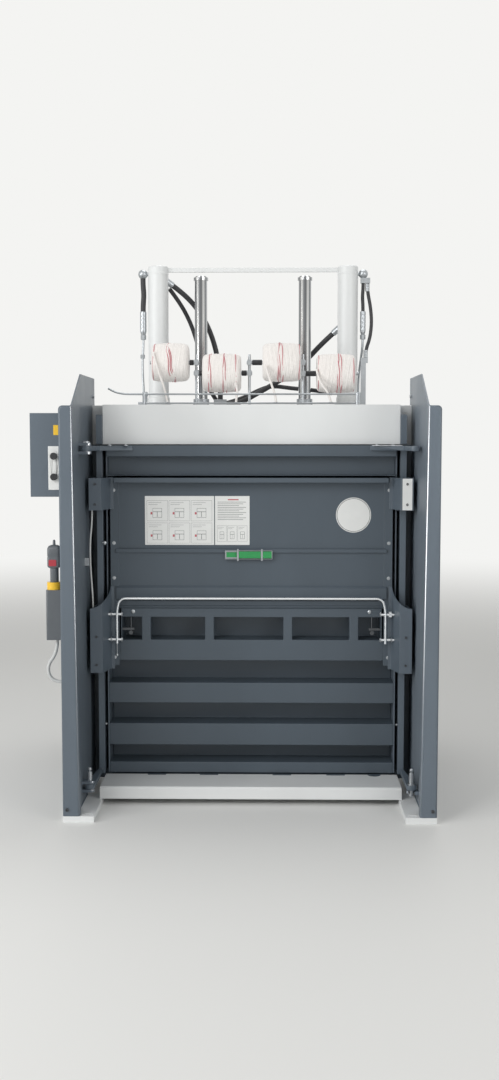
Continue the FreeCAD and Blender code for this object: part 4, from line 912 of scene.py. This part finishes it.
PLUG_X = -791.0
SECTIONS = (
    (950.0, 0.1, 0.1, 2), (950.0, 17.0, 17.0, 2.4), (1016.0, 17.0, 17.0, 2.4), (1021.0, 25.0, 22.0, 4),
    (1026.0, 26.5, 23.0, 5), (1060.0, 26.5, 23.0, 5), (1064.0, 25.5, 22.0, 5), (1068.0, 26.5, 23.0, 5),
    (1096.0, 26.5, 23.0, 5), (1106.0, 22.0, 18.0, 4), (1110.0, 14.0, 12.0, 3), (1111.0, 6.0, 6.0, 2),
    (1128.0, 5.0, 5.0, 2), (1131.0, 3.0, 3.0, 2), (1131.5, 0.1, 0.1, 2))
rows = []
for z, half_x, half_y, power in SECTIONS:
    ring = superellipse(half_x, half_y, power)
    rows.append(np.concatenate([ring + (PLUG_X, INLET_Y), np.full((len(ring), 1), z)], -1))
plug = add_surface("inlet_plug_housing", np.array(rows), grey_plastic, "frame", wrap_v=True)
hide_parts("inlet_plug")
plate("inlet_plug_window", (PLUG_X - 19.0, INLET_Y - 24.4, 1026.0),
      (PLUG_X + 12.0, INLET_Y - 22.6, 1052.0), "y", 4.0, red_plastic, "frame")
print("plug housing")

# %% [markdown]
# Two more hoses run behind the cylinders, from the port block to the lower ports. They sag under
# their own weight, so each is laid as a soft curve a little lower in its middle.

# %% Rear hoses
SECOND_R = 10.0
hose("supply_hose_second", SECOND_R, (
    (-392.0, 42.0, 2238.0), (-345.0, 76.0, 2178.0), (-296.0, 96.0, 2085.0), (-262.0, 102.0, 1980.0),
    (-243.0, 98.0, 1880.0), (-222.0, 86.0, 1790.0), (-176.0, 78.0, 1722.0)))
hose("return_hose_second", SECOND_R, (
    (372.0, 52.0, 1752.0), (310.0, 88.0, 1766.0), (190.0, 98.0, 1776.0), (90.0, 98.0, 1790.0),
    (25.0, 94.0, 1768.0), (-50.0, 86.0, 1728.0), (-130.0, 80.0, 1706.0)))
stub = [(0.0, -0.5), (15.0, -0.5), (15.0, 12.0), (11.0, 14.0), (11.0, 52.0), (13.5, 54.0), (13.5, 70.0),
        (9.0, 74.0), (0.0, 75.0)]
for word, x, y in (("left", -DROP_X + 6.0, RAM_Y), ("right", UNION_X, RAM_Y + UNION_BACK)):
    turned("pipe_socket_%s" % word, stub, (x, y, HEAD_TOP), UPWARD, zinc, "frame", 36)
plate("pipe_socket_elbow", (-DROP_X - 26.0, RAM_Y - 12.0, HEAD_TOP - 0.5),
      (-DROP_X + 6.0, RAM_Y + 12.0, HEAD_TOP + 27.0), "x", 5.0, zinc, "frame", 1.5)
print("rear hoses laid")

# %% [markdown]
# Hard chrome shows every flaw of a surface, so the guide rods are turned again with 96 sides. The
# glands at the feet of the cylinders are held by a ring of screws, as on any bolted flange.

# %% Guide rods and glands
CYLINDER_X, GUIDE_X = 441.0, 242.0
GUIDE_ROD = ((0.0, 1500.0), (29.0, 1500.0), (29.0, 2269.0), (29.5, 2270.0), (33.4, 2270.0), (34.0, 2270.6),
             (34.0, 2283.4), (33.4, 2284.0), (26.4, 2284.0), (26.0, 2285.0), (26.0, 2289.0), (25.0, 2290.0),
             (0.0, 2290.0))
FLANGES = (("gland", 6, CYLINDER_X, 53.0, HEAD_TOP + 18.0, 4.2),
           ("bush", 4, GUIDE_X, 46.0, HEAD_TOP + 12.0, 4.0))
for side, word in ((-1, "left"), (1, "right")):
    rod = turned("guide_rod_%s_turned" % word, GUIDE_ROD, (side * GUIDE_X, RAM_Y, 0.0), UPWARD,
                 chrome, "platen", 96)
    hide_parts("guide_rod_%s" % word)
    for flange, count, x, circle_r, z, r in FLANGES:
        for k in range(count):
            a = math.radians(360.0 / count * (k + 0.5))
            place = (side * x + circle_r * math.cos(a), RAM_Y + circle_r * math.sin(a), z)
            socket_screw("%s_%s_screw_%d" % (flange, word, k), place, UPWARD, r, "frame")
    ring = [(45.0, 0.0), (47.6, 0.0), (48.4, 1.5), (48.4, 6.5), (47.6, 8.0), (45.0, 8.0)]
    turned("barrel_%s_ring" % word, ring, (side * CYLINDER_X, RAM_Y, 2296.0), UPWARD,
           pale, "frame", 96)
rim = [(69.5, 0.0), (71.5, 0.0), (71.5, 0.12), (69.5, 0.12)]
turned("disc_rim", rim, (438.0, FRONT + 439.0, 1212.0), FORWARD, ink, "flap", 96)
print("rods and glands turned")

# %% [markdown]
# The back carries the hydraulic unit: a tank with a filler cap, a level glass and a drain, a motor
# with a slotted cowl and a terminal box, and a valve with two solenoids. The cabinet's outer side has
# its door, two hinges and a turn lock.

# %% Hydraulic unit and cabinet door
UNIT_Y = FRONT + 1436.0
TANK_BACK, MOTOR_X, MOTOR_Y = UNIT_Y + 160.0, 220.0, UNIT_Y + 80.0
cap = [(0.0, -0.5), (17.0, -0.5), (17.0, 7.0), (21.0, 8.0), (21.0, 26.0), (18.0, 30.0), (0.0, 31.0)]
turned("tank_cap", cap, (325.0, UNIT_Y + 122.0, 1240.0), UPWARD, black_plastic, "frame",
       24, smooth=False)
plate("tank_lid_band", (117.0, UNIT_Y + 2.0, 1228.0), (563.0, UNIT_Y + 163.0, 1241.5), "z", 6.0,
      slate, "frame")
plate("level_glass_frame", (500.0, UNIT_Y + 159.5, 1010.0), (522.0, UNIT_Y + 166.0, 1150.0), "y", 8.0,
      zinc, "frame")
plate("level_glass", (506.0, UNIT_Y + 165.0, 1024.0), (516.0, UNIT_Y + 168.0, 1136.0), "y", 4.0,
      yellow_plastic, "frame")
hex_screw("tank_drain", (180.0, TANK_BACK, 985.0), BACKWARD, 22.0, "frame")
cowl = [(0.0, 1392.0)]
for k in range(9):
    z, r = 1392.0 + 5.0 * k, 54.0 - 0.09 * (k ** 2)
    cowl += [(r, z), (r, z + 3.0), (r - 3.0, z + 3.4), (r - 3.0, z + 4.8)]
cowl += [(44.0, 1440.0), (0.0, 1441.0)]
turned("motor_cowl", cowl, (MOTOR_X, MOTOR_Y, 0.0), UPWARD, slate, "frame", 64, smooth=False)
plate("terminal_box", (MOTOR_X - 100.0, MOTOR_Y - 34.0, 1300.0), (MOTOR_X - 60.0, MOTOR_Y + 34.0, 1362.0),
      "x", 6.0, slate, "frame", 2.0)
coil = [(0.0, -0.5), (20.0, -0.5), (20.0, 40.0), (18.0, 42.0), (9.0, 42.0), (9.0, 50.0), (0.0, 51.0)]
for k, x in enumerate((372.0, 468.0), 1):
    turned("valve_coil_%d" % k, coil, (x, MOTOR_Y, 1310.0), UPWARD,
           black_plastic, "frame", 40)
for k, (x, z) in enumerate(((135.0, 975.0), (545.0, 975.0), (135.0, 1212.0), (545.0, 1212.0)), 1):
    hex_screw("tank_screw_%d" % k, (x, TANK_BACK, z), BACKWARD, 13.0, "frame")
plate("cabinet_door", (-883.0, FRONT + 112.0, 1317.0), (-880.8, FRONT + 468.0, 1628.0), "x", 8.0,
      slate, "frame", 1.0)
knuckle = [(0.0, 0.0), (5.0, 0.0), (5.0, 50.0), (0.0, 50.0)]
for k, z in enumerate((1350.0, 1545.0), 1):
    turned("cabinet_hinge_%d" % k, knuckle, (-883.5, FRONT + 462.0, z), UPWARD,
           zinc, "frame", 24)
lock = [(0.0, 0.0), (13.0, 0.0), (13.0, 2.5), (9.0, 3.5), (3.0, 3.5), (3.0, 1.5), (0.0, 1.5)]
turned("cabinet_lock", lock, (-882.8, FRONT + 140.0, 1472.0), (-1.0, 0.0, 0.0),
       zinc, "frame", 32)
print("unit and cabinet dressed")

# %% [markdown]
# The flap closes on the bale door. A folded lip on the door's top edge stands up behind the flap's
# foot and keeps the loose material in. It is 9 mm behind the flap, so the flap slides past it.

# %% Door lip
# The fold and the lip get the slate with painted shade, as the other set-back panels do.
plate("door_top_fold", (-610.0, FRONT + 449.6, 811.6), (610.0, FRONT + 470.0, 819.0), "x", 3.4,
      slate_painted_shade, "gate")
plate("door_top_lip", (-610.0, FRONT + 453.0, 806.0), (610.0, FRONT + 459.0, 842.0), "x", 2.9,
      slate_painted_shade, "gate")
print("door lip folded")

# %% [markdown]
# The sheets are joined by fillet welds under the paint. A weld bead is a rope of overlapping drops:
# its radius rises and falls with each drop, about every 4 mm. Beads run where plates really meet.

# %% Weld beads
DROP_LENGTH, HEAD_BACK = 4.0, FRONT + 1382.0


def weld_bead(name, start, end, radius, material):
    """A straight bead: r = R * (0.86 + 0.14 * |sin(pi * s / drop)|) along the seam, tapered at both ends."""
    start, end = np.array(start, float), np.array(end, float)
    length = float(np.linalg.norm(end - start))
    along, ring = ring_about(end - start, 8)
    s = np.linspace(0.0, length, int(length / 1.6) + 2)
    taper = np.clip(np.minimum(s, length - s) / 3.0, 0.05, 1.0)
    r = radius * (0.86 + 0.14 * np.abs(np.sin(np.pi * s / DROP_LENGTH))) * np.sqrt(taper)
    grid = start + s[:, None, None] * along + r[:, None, None] * ring[None]
    add_surface(name, grid, material, "frame", wrap_v=True, caps=True)


for side, word in ((-1, "left"), (1, "right")):
    x, foot_x = side * (COLUMN_IN + 6.0), side * (COLUMN_IN - 1.0)
    weld_bead("fin_%s_weld" % word, (x, FRONT + 26.0, 1668.6), (x, FRONT + 648.0, 1668.6), 3.0,
              slate)
    weld_bead("foot_%s_weld_side" % word, (foot_x, FRONT + 12.0, 25.6), (foot_x, FRONT + 310.0, 25.6), 3.0,
              slate)
    weld_bead("head_%s_weld_back" % word, (side * 652.0, HEAD_BACK, 1512.0), (side * 20.0, HEAD_BACK, 1512.0),
              2.6, pale)
    weld_bead("head_%s_weld_corner" % word, (side * 660.0, HEAD_BACK, 1516.0),
              (side * 660.0, HEAD_BACK, 1680.0), 2.2, pale)
print("welds laid")
